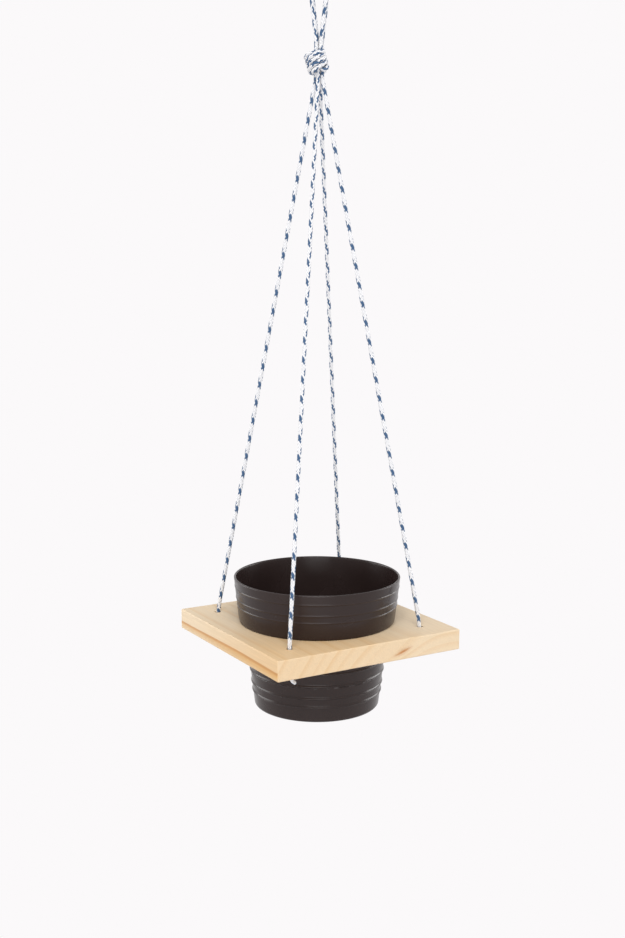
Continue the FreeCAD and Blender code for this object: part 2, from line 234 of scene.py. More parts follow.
def polar(radius: Any, bearing: Any, height: Any) -> np.ndarray:
    """Points from their distance and bearing about the upright axis.

    Args:
        radius: Distance from the axis, a number or an array.
        bearing: Angle from +X, a number or an array.
        height: Height, a number or an array.

    Returns:
        One point, or an array of points.
    """
    return np.stack(np.broadcast_arrays(radius * np.cos(bearing), radius * np.sin(bearing), height), -1)


def unit(vectors: np.ndarray) -> np.ndarray:
    """The vectors at length one."""
    return vectors / np.linalg.norm(vectors, axis=-1, keepdims=True)


def turned(points: np.ndarray, angle: float) -> np.ndarray:
    """The points turned about the upright axis."""
    cosine, sine = math.cos(angle), math.sin(angle)
    return points @ np.array([[cosine, sine, 0], [-sine, cosine, 0], [0, 0, 1]])


def smooth_step(low: float, high: float, value: np.ndarray) -> np.ndarray:
    """An even rise from 0 at low to 1 at high, level at both ends."""
    share = np.clip((value - low) / (high - low), 0, 1)
    return share * share * (3 - 2 * share)


def nurbs_line(route: np.ndarray) -> np.ndarray:
    """Points along the smooth NURBS line whose control points are a cord's route.

    Args:
        route: The control points, in order along the cord.

    Returns:
        Closely spaced points of the line, from the route's first point to its last.
    """
    curve = bpy.data.curves.new("route", "CURVE")
    curve.dimensions = "3D"
    spline = curve.splines.new("NURBS")
    spline.points.add(len(route) - 1)
    spline.points.foreach_set("co", np.column_stack([route, np.ones(len(route))]).ravel())
    spline.order_u = 3
    spline.use_endpoint_u = True
    spline.resolution_u = ROUTE_STEPS
    holder = bpy.data.objects.new("route", curve)
    mesh = bpy.data.meshes.new_from_object(holder)
    points = np.empty(len(mesh.vertices) * 3, np.float32)
    mesh.vertices.foreach_get("co", points)
    bpy.data.meshes.remove(mesh)
    bpy.data.objects.remove(holder)
    bpy.data.curves.remove(curve)
    return points.reshape(-1, 3).astype(float)


def step_lengths(line: np.ndarray) -> np.ndarray:
    """Distances between a line's neighbouring points."""
    return np.linalg.norm(np.diff(line, axis=0), axis=1)


def evenly_spaced(line: np.ndarray, spacing: float, extra: int = 0) -> np.ndarray:
    """The line's points at equal distances along it.

    Args:
        line: Points along the line.
        spacing: Distance between points, which gives way a little to fit.
        extra: Points to add to the number that the spacing gives.

    Returns:
        The points, from the line's start to its end.
    """
    along = np.concatenate([[0.0], np.cumsum(step_lengths(line))])
    at = np.linspace(0, along[-1], round(along[-1] / spacing) + 1 + extra)
    return np.column_stack([np.interp(at, along, axis) for axis in line.T])


def carried_frames(line: np.ndarray, toward: np.ndarray) -> tuple[np.ndarray, np.ndarray]:
    """Two directions across a line at each point, carried along it without twisting.

    Any direction across the line is taken at each point. Between neighbours, the first
    point's direction is swung as its tangent swings into the next tangent, and the angle
    by which that misses the next point's own direction is added up along the line.

    Args:
        line: Points along the line.
        toward: The way that the first direction faces at the line's start.

    Returns:
        The carried direction, and the one a quarter turn on about the tangent.
    """
    tangent = unit(np.gradient(line, axis=0))
    spare = np.eye(3)[np.abs(tangent).argmin(axis=1)]
    normal = unit(np.cross(tangent, spare))
    side = np.cross(tangent, normal)
    axis = np.cross(tangent[:-1], tangent[1:])
    cosine = np.sum(tangent[:-1] * tangent[1:], axis=1, keepdims=True)
    lift = np.sum(axis * normal[:-1], axis=1, keepdims=True) / (1 + cosine)
    swung = normal[:-1] * cosine + np.cross(axis, normal[:-1]) + axis * lift
    miss = np.arctan2(np.sum(swung * side[1:], axis=1), np.sum(swung * normal[1:], axis=1))
    start = math.atan2(toward @ side[0], toward @ normal[0])
    angle = start + np.concatenate([[0.0], np.cumsum(miss)])[:, None]
    carried = np.cos(angle) * normal + np.sin(angle) * side
    return carried, np.cross(tangent, carried)


# Surfaces

@dataclass
class Surface:
    """A mesh as arrays: points, four-cornered faces, and flat caps that close its ends.

    The maps hold one place per face corner, first those of the quads and then those of
    the caps. flat marks the quads that stay flat-shaded.
    """

    points: np.ndarray
    quads: np.ndarray
    caps: list[np.ndarray]
    maps: dict[str, np.ndarray]
    flat: np.ndarray

    def to_object(self, name: str, material: bpy.types.Material) -> bpy.types.Object:
        """Puts the arrays into a mesh.

        Args:
            name: Name of the piece.
            material: The piece's finish.

        Returns:
            The new object, linked to the scene, at the origin.
        """
        mesh = bpy.data.meshes.new(name)
        faces = self.quads.tolist() + [cap.tolist() for cap in self.caps]
        mesh.from_pydata(self.points.tolist(), [], faces)
        for label, places in self.maps.items():
            mesh.uv_layers.new(name=label).uv.foreach_set("vector", places.astype(np.float32).ravel())
        smooth = np.concatenate([~self.flat, np.zeros(len(self.caps), bool)])
        mesh.polygons.foreach_set("use_smooth", smooth)
        mesh.materials.append(material)
        mesh.update()
        piece = bpy.data.objects.new(name, mesh)
        bpy.context.scene.collection.objects.link(piece)
        return piece


def grid_quads(rows: int, columns: int, closed_rows: bool = False) -> np.ndarray:
    """Corner numbers of the quads of a grid whose rows are closed rings.

    Args:
        rows: Number of rings.
        columns: Points in a ring.
        closed_rows: Whether the last ring joins the first one.

    Returns:
        An array of four corner numbers per quad, ring by ring.
    """
    row = np.arange(rows if closed_rows else rows - 1)[:, None]
    column = np.arange(columns)[None, :]
    after, beside = (row + 1) % rows, (column + 1) % columns
    ring, next_ring = row * columns, after * columns
    corners = [ring + column, ring + beside, next_ring + beside, next_ring + column]
    return np.stack(np.broadcast_arrays(*corners), -1).reshape(-1, 4)


def joined(surfaces: list[Surface]) -> Surface:
    """Several surfaces as one, each keeping its own points.

    Args:
        surfaces: The surfaces, which all have the same maps.

    Returns:
        One surface, with all the quads before all the caps.
    """
    starts = np.cumsum([0] + [len(part.points) for part in surfaces[:-1]])
    maps = {}
    for label in surfaces[0].maps:
        quad_parts = [part.maps[label][:part.quads.size] for part in surfaces]
        cap_parts = [part.maps[label][part.quads.size:] for part in surfaces]
        maps[label] = np.concatenate(quad_parts + cap_parts)
    return Surface(
        points=np.concatenate([part.points for part in surfaces]),
        quads=np.concatenate([part.quads + start for part, start in zip(surfaces, starts)]),
        caps=[cap + start for part, start in zip(surfaces, starts) for cap in part.caps],
        maps=maps,
        flat=np.concatenate([part.flat for part in surfaces]),
    )


def end_caps(rows: int, columns: int) -> list[np.ndarray]:
    """Corner numbers of the two faces that close a grid of rings at its ends."""
    ring = np.arange(columns)
    return [ring[::-1], ring + (rows - 1) * columns]


def turned_surface(profile: np.ndarray, columns: int) -> Surface:
    """A profile turned about the upright axis, with a flat cap at each end.

    Args:
        profile: Rows of (radius, height), from the cap below to the cap above or inside.
        columns: Points round the axis.

    Returns:
        The closed surface: point (row, column) is the row's radius at the column's bearing.
    """
    bearing = np.linspace(0, 2 * math.pi, columns, endpoint=False)
    points = polar(profile[:, :1], bearing[None, :], profile[:, 1:]).reshape(-1, 3)
    quads = grid_quads(len(profile), columns)
    caps = end_caps(len(profile), columns)
    return Surface(points, quads, caps, {}, np.zeros(len(quads), bool))


# Finishes

# Settings that many nodes share: an even ease between two values, and a mix of colours
EASED = {"interpolation_type": "SMOOTHSTEP"}
COLOURS = {"data_type": "RGBA"}


def linear(hex_code: str) -> tuple[float, float, float, float]:
    """Turns an sRGB colour into linear RGBA, by the standard's own formula.

    Args:
        hex_code: The colour, as # and six hexadecimal digits.

    Returns:
        Red, green, blue and a full alpha.
    """
    parts = np.array([int(hex_code[n:n + 2], 16) for n in (1, 3, 5)]) / 255
    values = np.where(parts <= 0.04045, parts / 12.92, ((parts + 0.055) / 1.055) ** 2.4)
    return (*values.tolist(), 1.0)


class Nodes:
    """A node tree and the means to add nodes to it."""

    def __init__(self, tree: bpy.types.NodeTree) -> None:
        """Takes a tree and empties it."""
        self.tree = tree
        tree.nodes.clear()

    def add(
        self, kind: str, inputs: dict[Any, Any], output: Any = 0, **settings: Any
    ) -> bpy.types.NodeSocket | None:
        """Adds one node.

        Args:
            kind: The node's type, without its common beginning.
            inputs: For each input, by name or number, a value or the socket that feeds it.
            output: Name or number of the output to return.
            **settings: The node's own settings.

        Returns:
            The output socket, or nothing where the node ends the tree.
        """
        node = self.tree.nodes.new("ShaderNode" + kind)
        for name, value in settings.items():
            setattr(node, name, value)
        self.feed(node, inputs)
        return node.outputs[output] if node.outputs else None

    def feed(self, node: bpy.types.Node, inputs: dict[Any, Any]) -> None:
        """Sets or links a node's inputs.

        Args:
            node: The node.
            inputs: For each input, by name or number, a value or the socket that feeds it.
        """
        for key, value in inputs.items():
            if isinstance(value, bpy.types.NodeSocket):
                self.tree.links.new(value, node.inputs[key])
            else:
                node.inputs[key].default_value = value

    def in_sight(self) -> bpy.types.NodeSocket:
        """A socket that is 1 for rays of sight, direct, mirrored or through glass, else 0.

        Returns:
            The socket.
        """
        sight = self.add("LightPath", {}, "Is Camera Ray")
        for ray in ("Is Glossy Ray", "Is Transmission Ray"):
            other = self.add("LightPath", {}, ray)
            sight = self.add("Math", {0: sight, 1: other}, operation="MAXIMUM")
        return sight


class Finish(Nodes):
    """A material with a principled shader.

    The finishes' ranges are keyed by the inputs of a Map Range node: the values from 1 to 2
    come in, and those from 3 to 4 go out.
    """

    def __init__(self, name: str) -> None:
        """Makes the material.

        Args:
            name: The real material and how its surface was made.
        """
        self.material = bpy.data.materials.new(name)
        self.material.use_nodes = True
        super().__init__(self.material.node_tree)
        self.shader = self.tree.nodes.new("ShaderNodeBsdfPrincipled")
        self.output = self.tree.nodes.new("ShaderNodeOutputMaterial")
        self.feed(self.output, {0: self.shader.outputs[0]})


@dataclass(frozen=True)
class Braid:
    """The cord's braid: how many yarns run each way and how far one goes in a turn.

    Each yarn goes over some yarns and then under as many. The first few yarns of each
    family are tracers. Where both families' tracers cross they make a mark, whose middle
    lies at mark_round. steps counts the mesh's columns, and its rings in one pitch.
    """

    yarns: int = 6
    over: int = 2
    tracers: int = 2
    lag: int = 1
    pitch: float = 18.2 * MM
    relief: float = 0.32 * MM
    flatness: float = 0.4
    steps: int = 36
    mark_round: float = 1 / 6

    @property
    def spacing(self) -> float:
        """Distance between rings of the mesh, a whole number of them to a turn."""
        return self.pitch / self.steps

    def crown(self, round_share: np.ndarray, turns: np.ndarray) -> np.ndarray:
        """Height of the braid's surface, from 0 between yarns to 1 on top of one.

        Two families of yarns wind opposite ways: their numbers are the whole parts of
        yarns * (round + turns) and yarns * (round - turns). The sum of both numbers and
        the lag counts the cells of a float over and a float under, and the first family
        lies on top in the former. The height is a half ellipse across the top yarn times
        a flatter one along its float.

        Args:
            round_share: Place round the cord, in whole turns.
            turns: Place along the cord, in pitches.

        Returns:
            The heights.
        """
        first, second = self.yarns * (round_share + turns), self.yarns * (round_share - turns)
        cell = (np.floor(first) + np.floor(second) + self.lag) % (2 * self.over)
        on_top = cell < self.over
        own, other = np.where(on_top, first, second), np.where(on_top, second, first)
        across = own % 1
        along = ((other + np.floor(own) + self.lag) / self.over) % 1
        return np.sqrt(4 * across * (1 - across)) * (4 * along * (1 - along)) ** self.flatness


class BraidedCord(Finish):
    """Braided polypropylene cord, white with a pair of blue tracers each way.

    The eye gets soft white yarns of fine filaments, shaded gaps between them, and blue
    marks where the tracers cross, on two opposite sides in turn, joined by broken slants.
    """

    WHITE = "#F2F2F4"
    TRACER = "#3C5E84"
    MAP = "yarns"
    # A yarn's shade from its sides and from the ends of its float inwards
    SIDE_SHADE = {2: 0.16, 3: 0.72}
    END_SHADE = {2: 0.12, 3: 0.78}
    # Real filaments are far finer than can show, so a yarn gets only a few
    FILAMENTS = 6
    FILAMENT_RELIEF = {"Strength": 0.25, "Distance": 0.05 * MM}
    SOFTNESS = {"Roughness": 0.62, "Sheen Weight": 0.2, "Sheen Roughness": 0.4}

    def __init__(self, braid: Braid) -> None:
        """Builds the finish on the cord's own map of places round it and turns along it.

        Args:
            braid: The braid that the mesh has too.
        """
        super().__init__("braided_polypropylene_cord")
        add = self.add
        place = add("UVMap", {}, uv_map=self.MAP)
        around = add("SeparateXYZ", {0: place}, 0)
        turns = add("SeparateXYZ", {0: place}, 1)

        # The yarn on top, the place across it and the place along its float, as in Braid
        summed = add("Math", {0: around, 1: turns}, operation="ADD")
        differing = add("Math", {0: around, 1: turns}, operation="SUBTRACT")
        first = add("Math", {0: summed, 1: braid.yarns}, operation="MULTIPLY")
        second = add("Math", {0: differing, 1: braid.yarns}, operation="MULTIPLY")
        first_yarn = add("Math", {0: first}, operation="FLOOR")
        second_yarn = add("Math", {0: second}, operation="FLOOR")
        both = add("Math", {0: first_yarn, 1: second_yarn}, operation="ADD")
        lagged = add("Math", {0: both, 1: braid.lag}, operation="ADD")
        cell = add("Math", {0: lagged, 1: 2 * braid.over}, operation="FLOORED_MODULO")
        on_top = add("Math", {0: cell, 1: braid.over}, operation="LESS_THAN")
        own = add("Mix", {0: on_top, 2: second, 3: first})
        other = add("Mix", {0: on_top, 2: first, 3: second})
        yarn = add("Math", {0: own}, operation="FLOOR")
        across = add("Math", {0: own}, operation="FRACT")
        passed = add("Math", {0: other, 1: yarn}, operation="ADD")
        floats = {0: passed, 1: 1 / braid.over, 2: braid.lag / braid.over}
        along = add("Math", {0: add("Math", floats, operation="MULTIPLY_ADD")}, operation="FRACT")

        # The first yarns of each family are dyed
        in_turn = add("Math", {0: yarn, 1: braid.yarns}, operation="FLOORED_MODULO")
        is_tracer = add("Math", {0: in_turn, 1: braid.tracers - 0.5}, operation="LESS_THAN")
        dyed = add("Mix", {0: is_tracer, 6: linear(self.WHITE), 7: linear(self.TRACER)}, 2, **COLOURS)

        # The gaps between yarns are in shade: ping-pong turns 0..1 into a rise and a fall
        from_side = add("Math", {0: across, 1: 0.5}, operation="PINGPONG")
        from_end = add("Math", {0: along, 1: 0.5}, operation="PINGPONG")
        side = add("MapRange", {0: from_side, **self.SIDE_SHADE}, **EASED)
        end = add("MapRange", {0: from_end, **self.END_SHADE}, **EASED)
        shade = add("Math", {0: side, 1: end}, operation="MULTIPLY")
        shaded = add("Mix", {0: 1.0, 6: dyed, 7: shade}, 2, blend_type="MULTIPLY", **COLOURS)

        # Filaments run along each yarn
        wave = add("Math", {0: across, 1: 2 * math.pi * self.FILAMENTS}, operation="MULTIPLY")
        ridges = add("Math", {0: wave}, operation="SINE")
        relief = add("Bump", {"Height": ridges, **self.FILAMENT_RELIEF})
        self.feed(self.shader, {"Base Color": shaded, "Normal": relief, **self.SOFTNESS})


class PlanedPine(Finish):
    """Planed and sanded pine, bare: pale early wood, amber late wood, fine straight fibres.

    The rings are cylinders about a pith below the board, along Y, so the long faces show
    lines, the top shows faint bands and the ends show arcs, as on a sawn board. One rich
    year makes the amber line along the left face, strongest towards the front, and the
    rings bend round a small branch knot. Lengths here are millimetres.
    """

    EARLY = "#EFD9B9"
    LATE = "#DBAA67"
    HONEY = "#E8C596"
    RESIN = "#BE7A3C"

    # Rings: the pith's place, a year's width, how far the rings sway over what distance
    # across and along the grain, and how uneven the years are over what distance
    PITH_X = 87.0
    PITH_BELOW = 109.0
    RING_WIDTH = 11.0
    RING_PHASE = 0.07
    SWAY = 5.0
    SWAY_SIZE = (60.0, 240.0, 60.0)
    UNEVEN = 4.0
    UNEVEN_SIZE = 19.0

    # Late wood: where in a year it rises and falls, how deep it is in a usual year, and
    # where in the rich year the dark line at its end begins
    LATE_RISE = {1: 0.4, 2: 0.9}
    LATE_FALL = {1: 0.92, 2: 1.0, 3: 1.0, 4: 0.0}
    USUAL_DEPTH = {3: 0.06, 4: 0.3}
    YEAR_END = {1: 0.8, 2: 0.9, 4: 0.55}

    # The rich year: its depth from front to back, and its fading away from the left face
    # and from the front one, which is paler. That paler band runs on over the front's rounded
    # edge onto the top, where it is a painted highlight along that edge.
    RICH_YEAR = 19
    RICH_DEPTH = {1: -100.0, 2: 100.0, 3: 0.95, 4: 0.6}
    LEFT_FACE = {1: -101.0, 2: -95.0, 3: 1.0, 4: 0.0}
    BEHIND_FRONT = {1: -101.3, 2: -100.0}
    PALE_FRONT_AND_EDGE_HIGHLIGHT = {3: 0.55, 4: 1.0}

    # Warmer patches: their size across and along the grain, and how they gather frontwards
    PATCH_SIZE = (70.0, 180.0, 70.0)
    FRONTWARD = (-0.004, -0.004, 0.0)
    WARMTH = {1: 0.45, 2: 1.2, 4: 0.9}

    # Fibres, drawn some twenty times as wide as real ones, or they would not show
    FIBRE_SIZE = (0.9, 40.0, 0.9)
    FIBRE_TONE = {1: 0.3, 2: 0.7, 3: 0.93, 4: 1.04}
    ROUGHNESS = {3: 0.5, 4: 0.64}
    SPECULAR = 0.35
    RELIEF = {"Strength": 0.35, "Distance": 0.15 * MM}
    LATE_RELIEF = 0.6

    # The branch knot: an ellipsoid's middle, lean and half sizes, how far the rings bend
    # round it, how ragged its edge is, and the layers that streak it
    KNOT_PLACE = (34.5, -101.5, -619.0)
    KNOT_LEAN = math.radians(18)
    KNOT_HALF = (12.0, 40.0, 3.4)
    KNOT_SWIRL = {1: 0.0, 2: 4.0, 3: 5.0, 4: 0.0}
    KNOT_RAGGED = 0.7
    KNOT_DEPTH = {1: 0.45, 2: 1.5, 3: 0.95, 4: 0.0}
    KNOT_LAYER = 3.6
    KNOT_STREAKS = {1: -1.0, 2: 1.0, 3: 0.45, 4: 1.0}

    def __init__(self, middle: float) -> None:
        """Builds the finish on the board's own place, counted in millimetres.

        Args:
            middle: Height of the board's middle plane.
        """
        super().__init__("planed_pine")
        add = self.add
        place = add("TexCoord", {}, "Object")
        grain = add("VectorMath", {0: place, "Scale": 1 / MM}, operation="SCALE")
        to_right = add("SeparateXYZ", {0: grain}, 0)
        to_back = add("SeparateXYZ", {0: grain}, 1)

        # A small branch knot on the end grain: how far off a leaning ellipsoid's middle
        off = add("VectorMath", {0: grain, 1: self.KNOT_PLACE}, operation="SUBTRACT")
        leaning = add("VectorRotate", {"Vector": off, "Angle": self.KNOT_LEAN}, rotation_type="Y_AXIS")
        share = add("VectorMath", {0: leaning, 1: self.KNOT_HALF}, operation="DIVIDE")
        far = add("VectorMath", {0: share}, "Value", operation="LENGTH")
        swirl = add("MapRange", {0: far, **self.KNOT_SWIRL}, **EASED)

        # Rings: distance from the pith, which wanders slowly along the grain
        slow = add("VectorMath", {0: grain, 1: self.SWAY_SIZE}, operation="DIVIDE")
        wander = add("TexNoise", {"Vector": slow, "Scale": 1.0, "Detail": 2.0}, "Color")
        centred = add("VectorMath", {0: wander, 1: (0.5, 0.5, 0.5)}, operation="SUBTRACT")
        swayed = add("VectorMath", {0: centred, 1: (self.SWAY,) * 3, 2: grain}, operation="MULTIPLY_ADD")
        level = add("VectorMath", {0: swayed, 1: (1, 0, 1)}, operation="MULTIPLY")
        pith = (self.PITH_X, 0, middle / MM - self.PITH_BELOW)
        reach = add("VectorMath", {0: level, 1: pith}, "Value", operation="DISTANCE")
        radius = add("Math", {0: reach, 1: swirl}, operation="ADD")
        rate = add("Math", {0: radius, 1: self.UNEVEN_SIZE}, operation="DIVIDE")
        uneven = add("TexNoise", {"W": rate, "Scale": 1.0, "Detail": 1.0}, noise_dimensions="1D")
        grown = add("Math", {0: uneven, 1: self.UNEVEN, 2: radius}, operation="MULTIPLY_ADD")
        ring = add("Math", {0: grown, 1: 1 / self.RING_WIDTH, 2: self.RING_PHASE}, operation="MULTIPLY_ADD")
        year = add("Math", {0: ring}, operation="FLOOR")
        season = add("Math", {0: ring}, operation="FRACT")

        # Late wood, usual or rich
        rise = add("MapRange", {0: season, **self.LATE_RISE}, **EASED)
        fall = add("MapRange", {0: season, **self.LATE_FALL}, **EASED)
        late = add("Math", {0: rise, 1: fall}, operation="MULTIPLY")
        vigour = add("TexWhiteNoise", {"W": year}, noise_dimensions="1D")
        usual = add("MapRange", {0: vigour, **self.USUAL_DEPTH})
        rich = add("MapRange", {0: to_back, **self.RICH_DEPTH})
        is_rich = add("Math", {0: year, 1: self.RICH_YEAR, 2: 0.5}, operation="COMPARE")
        inward = add("MapRange", {0: to_right, **self.LEFT_FACE}, **EASED)
        # behind is 0 on the front face and over its rounded edge, so the top gets a thin painted highlight line there
        behind = add("MapRange", {0: to_back, **self.BEHIND_FRONT}, **EASED)
        skin = add("Math", {0: inward, 1: behind}, operation="MULTIPLY")
        richness = add("Math", {0: is_rich, 1: skin}, operation="MULTIPLY")
        depth = add("Mix", {0: richness, 2: usual, 3: rich})
        late_wood = add("Math", {0: late, 1: depth}, operation="MULTIPLY")

        # Broad patches of warmer wood, most of it towards the front, then the rings on them
        patch_place = add("VectorMath", {0: grain, 1: self.PATCH_SIZE}, operation="DIVIDE")
        patch = add("TexNoise", {"Vector": patch_place, "Scale": 1.0, "Detail": 2.0})
        frontward = add("VectorMath", {0: grain, 1: self.FRONTWARD}, "Value", operation="DOT_PRODUCT")
        warmer = add("Math", {0: patch, 1: frontward}, operation="ADD")
        usual_warmth = add("MapRange", {0: warmer, **self.WARMTH}, **EASED)
        # Less warmth on the front face, which is paler wood, and on its rounded edge, where the lighter line is a
        # painted highlight
        pale_front_and_edge_highlight = add("MapRange", {0: behind, **self.PALE_FRONT_AND_EDGE_HIGHLIGHT})
        warmth = add("Math", {0: usual_warmth, 1: pale_front_and_edge_highlight}, operation="MULTIPLY")
        body = add("Mix", {0: warmth, 6: linear(self.EARLY), 7: linear(self.HONEY)}, 2, **COLOURS)
        seasoned = add("Mix", {0: late_wood, 6: body, 7: linear(self.LATE)}, 2, **COLOURS)
        last = add("MapRange", {0: season, **self.YEAR_END}, **EASED)
        ended = add("Math", {0: last, 1: fall}, operation="MULTIPLY")
        edge_line = add("Math", {0: ended, 1: richness}, operation="MULTIPLY")
        ringed = add("Mix", {0: edge_line, 6: seasoned, 7: linear(self.RESIN)}, 2, **COLOURS)

        # Fibres along the grain lighten and darken it all
        fibre_place = add("VectorMath", {0: grain, 1: self.FIBRE_SIZE}, operation="DIVIDE")
        fibre = add("TexNoise", {"Vector": fibre_place, "Scale": 1.0, "Detail": 3.0, "Roughness": 0.6})
        tone = add("MapRange", {0: fibre, **self.FIBRE_TONE})
        fibred = add("Mix", {0: 1.0, 6: ringed, 7: tone}, 2, blend_type="MULTIPLY", **COLOURS)

        # The branch knot is darkest in its middle and streaked along its length
        ragged = add("Math", {0: fibre, 1: self.KNOT_RAGGED, 2: far}, operation="MULTIPLY_ADD")
        pitchy = add("MapRange", {0: ragged, **self.KNOT_DEPTH}, **EASED)
        height_in_knot = add("SeparateXYZ", {0: leaning}, 2)
        layers = add("Math", {0: height_in_knot, 1: 2 * math.pi / self.KNOT_LAYER}, operation="MULTIPLY")
        streaks = add("Math", {0: layers}, operation="COSINE")
        streaked = add("MapRange", {0: streaks, **self.KNOT_STREAKS})
        resin = add("Math", {0: pitchy, 1: streaked}, operation="MULTIPLY")
        coloured = add("Mix", {0: resin, 6: fibred, 7: linear(self.RESIN)}, 2, **COLOURS)

        height = add("Math", {0: late_wood, 1: self.LATE_RELIEF, 2: fibre}, operation="MULTIPLY_ADD")
        self.feed(self.shader, {
            "Base Color": coloured,
            "Normal": add("Bump", {"Height": height, **self.RELIEF}),
            "Roughness": add("MapRange", {0: fibre, **self.ROUGHNESS}),
            "Specular IOR Level": self.SPECULAR,
        })


class MouldedPlastic(Finish):
    """Injection-moulded polypropylene, dark brown-black and satin, with a faint mould grain.

    The eye gets a nearly black wall whose edges go pale where it turns away, and soft
    light lines along its rings.
    """

    DARK = "#2A201E"
    WORN = "#342826"
    # Millimetres: clouds of wear, and the mould's grain, drawn coarser than it is to show
    CLOUD_SIZE = 45.0
    GRAIN_SIZE = 0.7
    GRAIN_RELIEF = {"Strength": 0.05, "Distance": 0.05 * MM}
    ROUGHNESS = {1: 0.3, 2: 0.7, 3: 0.22, 4: 0.30}
    SPECULAR = 0.29

    def __init__(self) -> None:
        """Builds the finish on the pot's own place, with each pattern at its own size."""
        super().__init__("moulded_polypropylene")
        add = self.add
        place = add("TexCoord", {}, "Object")
        cloud_place = add("VectorMath", {0: place, "Scale": 1 / (self.CLOUD_SIZE * MM)}, operation="SCALE")
        cloud = add("TexNoise", {"Vector": cloud_place, "Scale": 1.0, "Detail": 3.0})
        colour = add("Mix", {0: cloud, 6: linear(self.DARK), 7: linear(self.WORN)}, 2, **COLOURS)
        grain_place = add("VectorMath", {0: place, "Scale": 1 / (self.GRAIN_SIZE * MM)}, operation="SCALE")
        grain = add("TexNoise", {"Vector": grain_place, "Scale": 1.0, "Detail": 2.0})
        self.feed(self.shader, {
            "Base Color": colour,
            "Normal": add("Bump", {"Height": grain, **self.GRAIN_RELIEF}),
            "Roughness": add("MapRange", {0: cloud, **self.ROUGHNESS}),
            "Specular IOR Level": self.SPECULAR,
        })


# Cords

@dataclass
class Strand:
    """A stretch of braided cord, as one row of each array per ring of its mesh.

    turns counts the braid's pitches along the cord, and forward and sideways are the two
    directions across it that its places round the cord are counted from.
    """

    line: np.ndarray
    forward: np.ndarray
    sideways: np.ndarray
    radius: np.ndarray
    turns: np.ndarray

    # Shares of the folded map's lanes that stay clear at their sides and at their ends
    LANE_MARGIN: ClassVar[float] = 0.03
    END_MARGIN: ClassVar[float] = 0.02

    def part(self, first: int, last: int) -> "Strand":
        """The stretch from one ring to another, both included."""
        return Strand(*(rows[first:last + 1] for rows in vars(self).values()))

    def angle_to(self, direction: np.ndarray, ring: int) -> float:
        """Angle about the line from forward to another direction, at one ring."""
        return math.atan2(direction @ self.sideways[ring], direction @ self.forward[ring])

    def twisted(self, start: float, end: float) -> "Strand":
        """The strand with its braid turned about its line, evenly from one angle to another.

        Args:
            start: Angle at the first ring.
            end: Angle at the last ring.

        Returns:
            The strand.
        """
        angle = np.linspace(start, end, len(self.line))[:, None]
        cosine, sine = np.cos(angle), np.sin(angle)
        return replace(
            self,
            forward=cosine * self.forward + sine * self.sideways,
            sideways=cosine * self.sideways - sine * self.forward,
        )

    def meeting(self, other: "Strand", ring: int, other_ring: int) -> "Strand":
        """The strand with its braid moved and turned to run on from another's.

        Args:
            other: The strand that it meets.
            ring: This strand's ring at the meeting, its first or its last.
            other_ring: The other strand's ring there.

        Returns:
            The strand.
        """
        angle = self.angle_to(other.forward[other_ring], ring)
        turns = self.turns + (other.turns[other_ring] - self.turns[ring])
        return replace(self, turns=turns).twisted(angle, angle)

    def backwards(self, braid: Braid) -> "Strand":
        """The same stretch followed the other way, with its tracers where they were.

        Places round the cord then count the other way, so forward moves on by the tracers'
        share of the yarns, which makes the last tracer the first.

        Args:
            braid: The cord's braid.

        Returns:
            The strand.
        """
        share = 2 * math.pi * braid.tracers / braid.yarns
        moved = self.twisted(share, share)
        back = Strand(*(rows[::-1] for rows in vars(moved).values()))
        return replace(back, sideways=-back.sideways, turns=-back.turns)

    def surface(self, braid: Braid) -> Surface:
        """The braided tube, closed by a flat cap at each end.

        Point (ring, column) lies off the line by the radius, less the braid's relief and
        plus the relief times the braid's crown, at the column's angle from forward.

        Args:
            braid: The cord's braid.

        Returns:
            The surface, with a map of the yarns and a folded-up map of the whole tube.
        """
        rings, columns = len(self.line), braid.steps
        share = np.arange(columns) / columns
        crown = braid.crown(share[None, :], self.turns[:, None])
        reach = (self.radius[:, None] - braid.relief * (1 - crown))[..., None]
        angle = 2 * math.pi * share[None, :, None]
        spokes = np.cos(angle) * self.forward[:, None] + np.sin(angle) * self.sideways[:, None]
        points = (self.line[:, None] + reach * spokes).reshape(-1, 3)
        quads = grid_quads(rings, columns)
        caps = end_caps(rings, columns)

        row, column = np.divmod(np.arange(len(quads)), columns)
        corner_row = row[:, None] + np.array([0, 0, 1, 1])
        corner_column = column[:, None] + np.array([0, 1, 1, 0])
        yarns = np.stack([corner_column / columns, self.turns[corner_row]], -1).reshape(-1, 2)
        cap_yarns = np.stack([np.zeros(2 * columns), np.repeat(self.turns[[0, -1]], columns)], -1)

        # The folded map cuts the tube's length into lanes that fill a square
        lanes = max(1, round(math.sqrt(rings / columns)))
        lane_rows = math.ceil((rings - 1) / lanes)
        lane = row // lane_rows
        lane_along = (corner_row - (lane * lane_rows)[:, None]) / lane_rows
        side, end = self.LANE_MARGIN, self.END_MARGIN
        lane_across = (lane[:, None] + side + (1 - 2 * side) * corner_column / columns) / lanes
        folded = np.stack([end + (1 - 2 * end) * lane_along, lane_across], -1).reshape(-1, 2)
        cap_folded = np.tile(folded[:1], (2 * columns, 1))
        maps = {
            BraidedCord.MAP: np.concatenate([yarns, cap_yarns]),
            "OFBake": np.concatenate([folded, cap_folded]),
        }
        return Surface(points, quads, caps, maps, np.zeros(len(quads), bool))


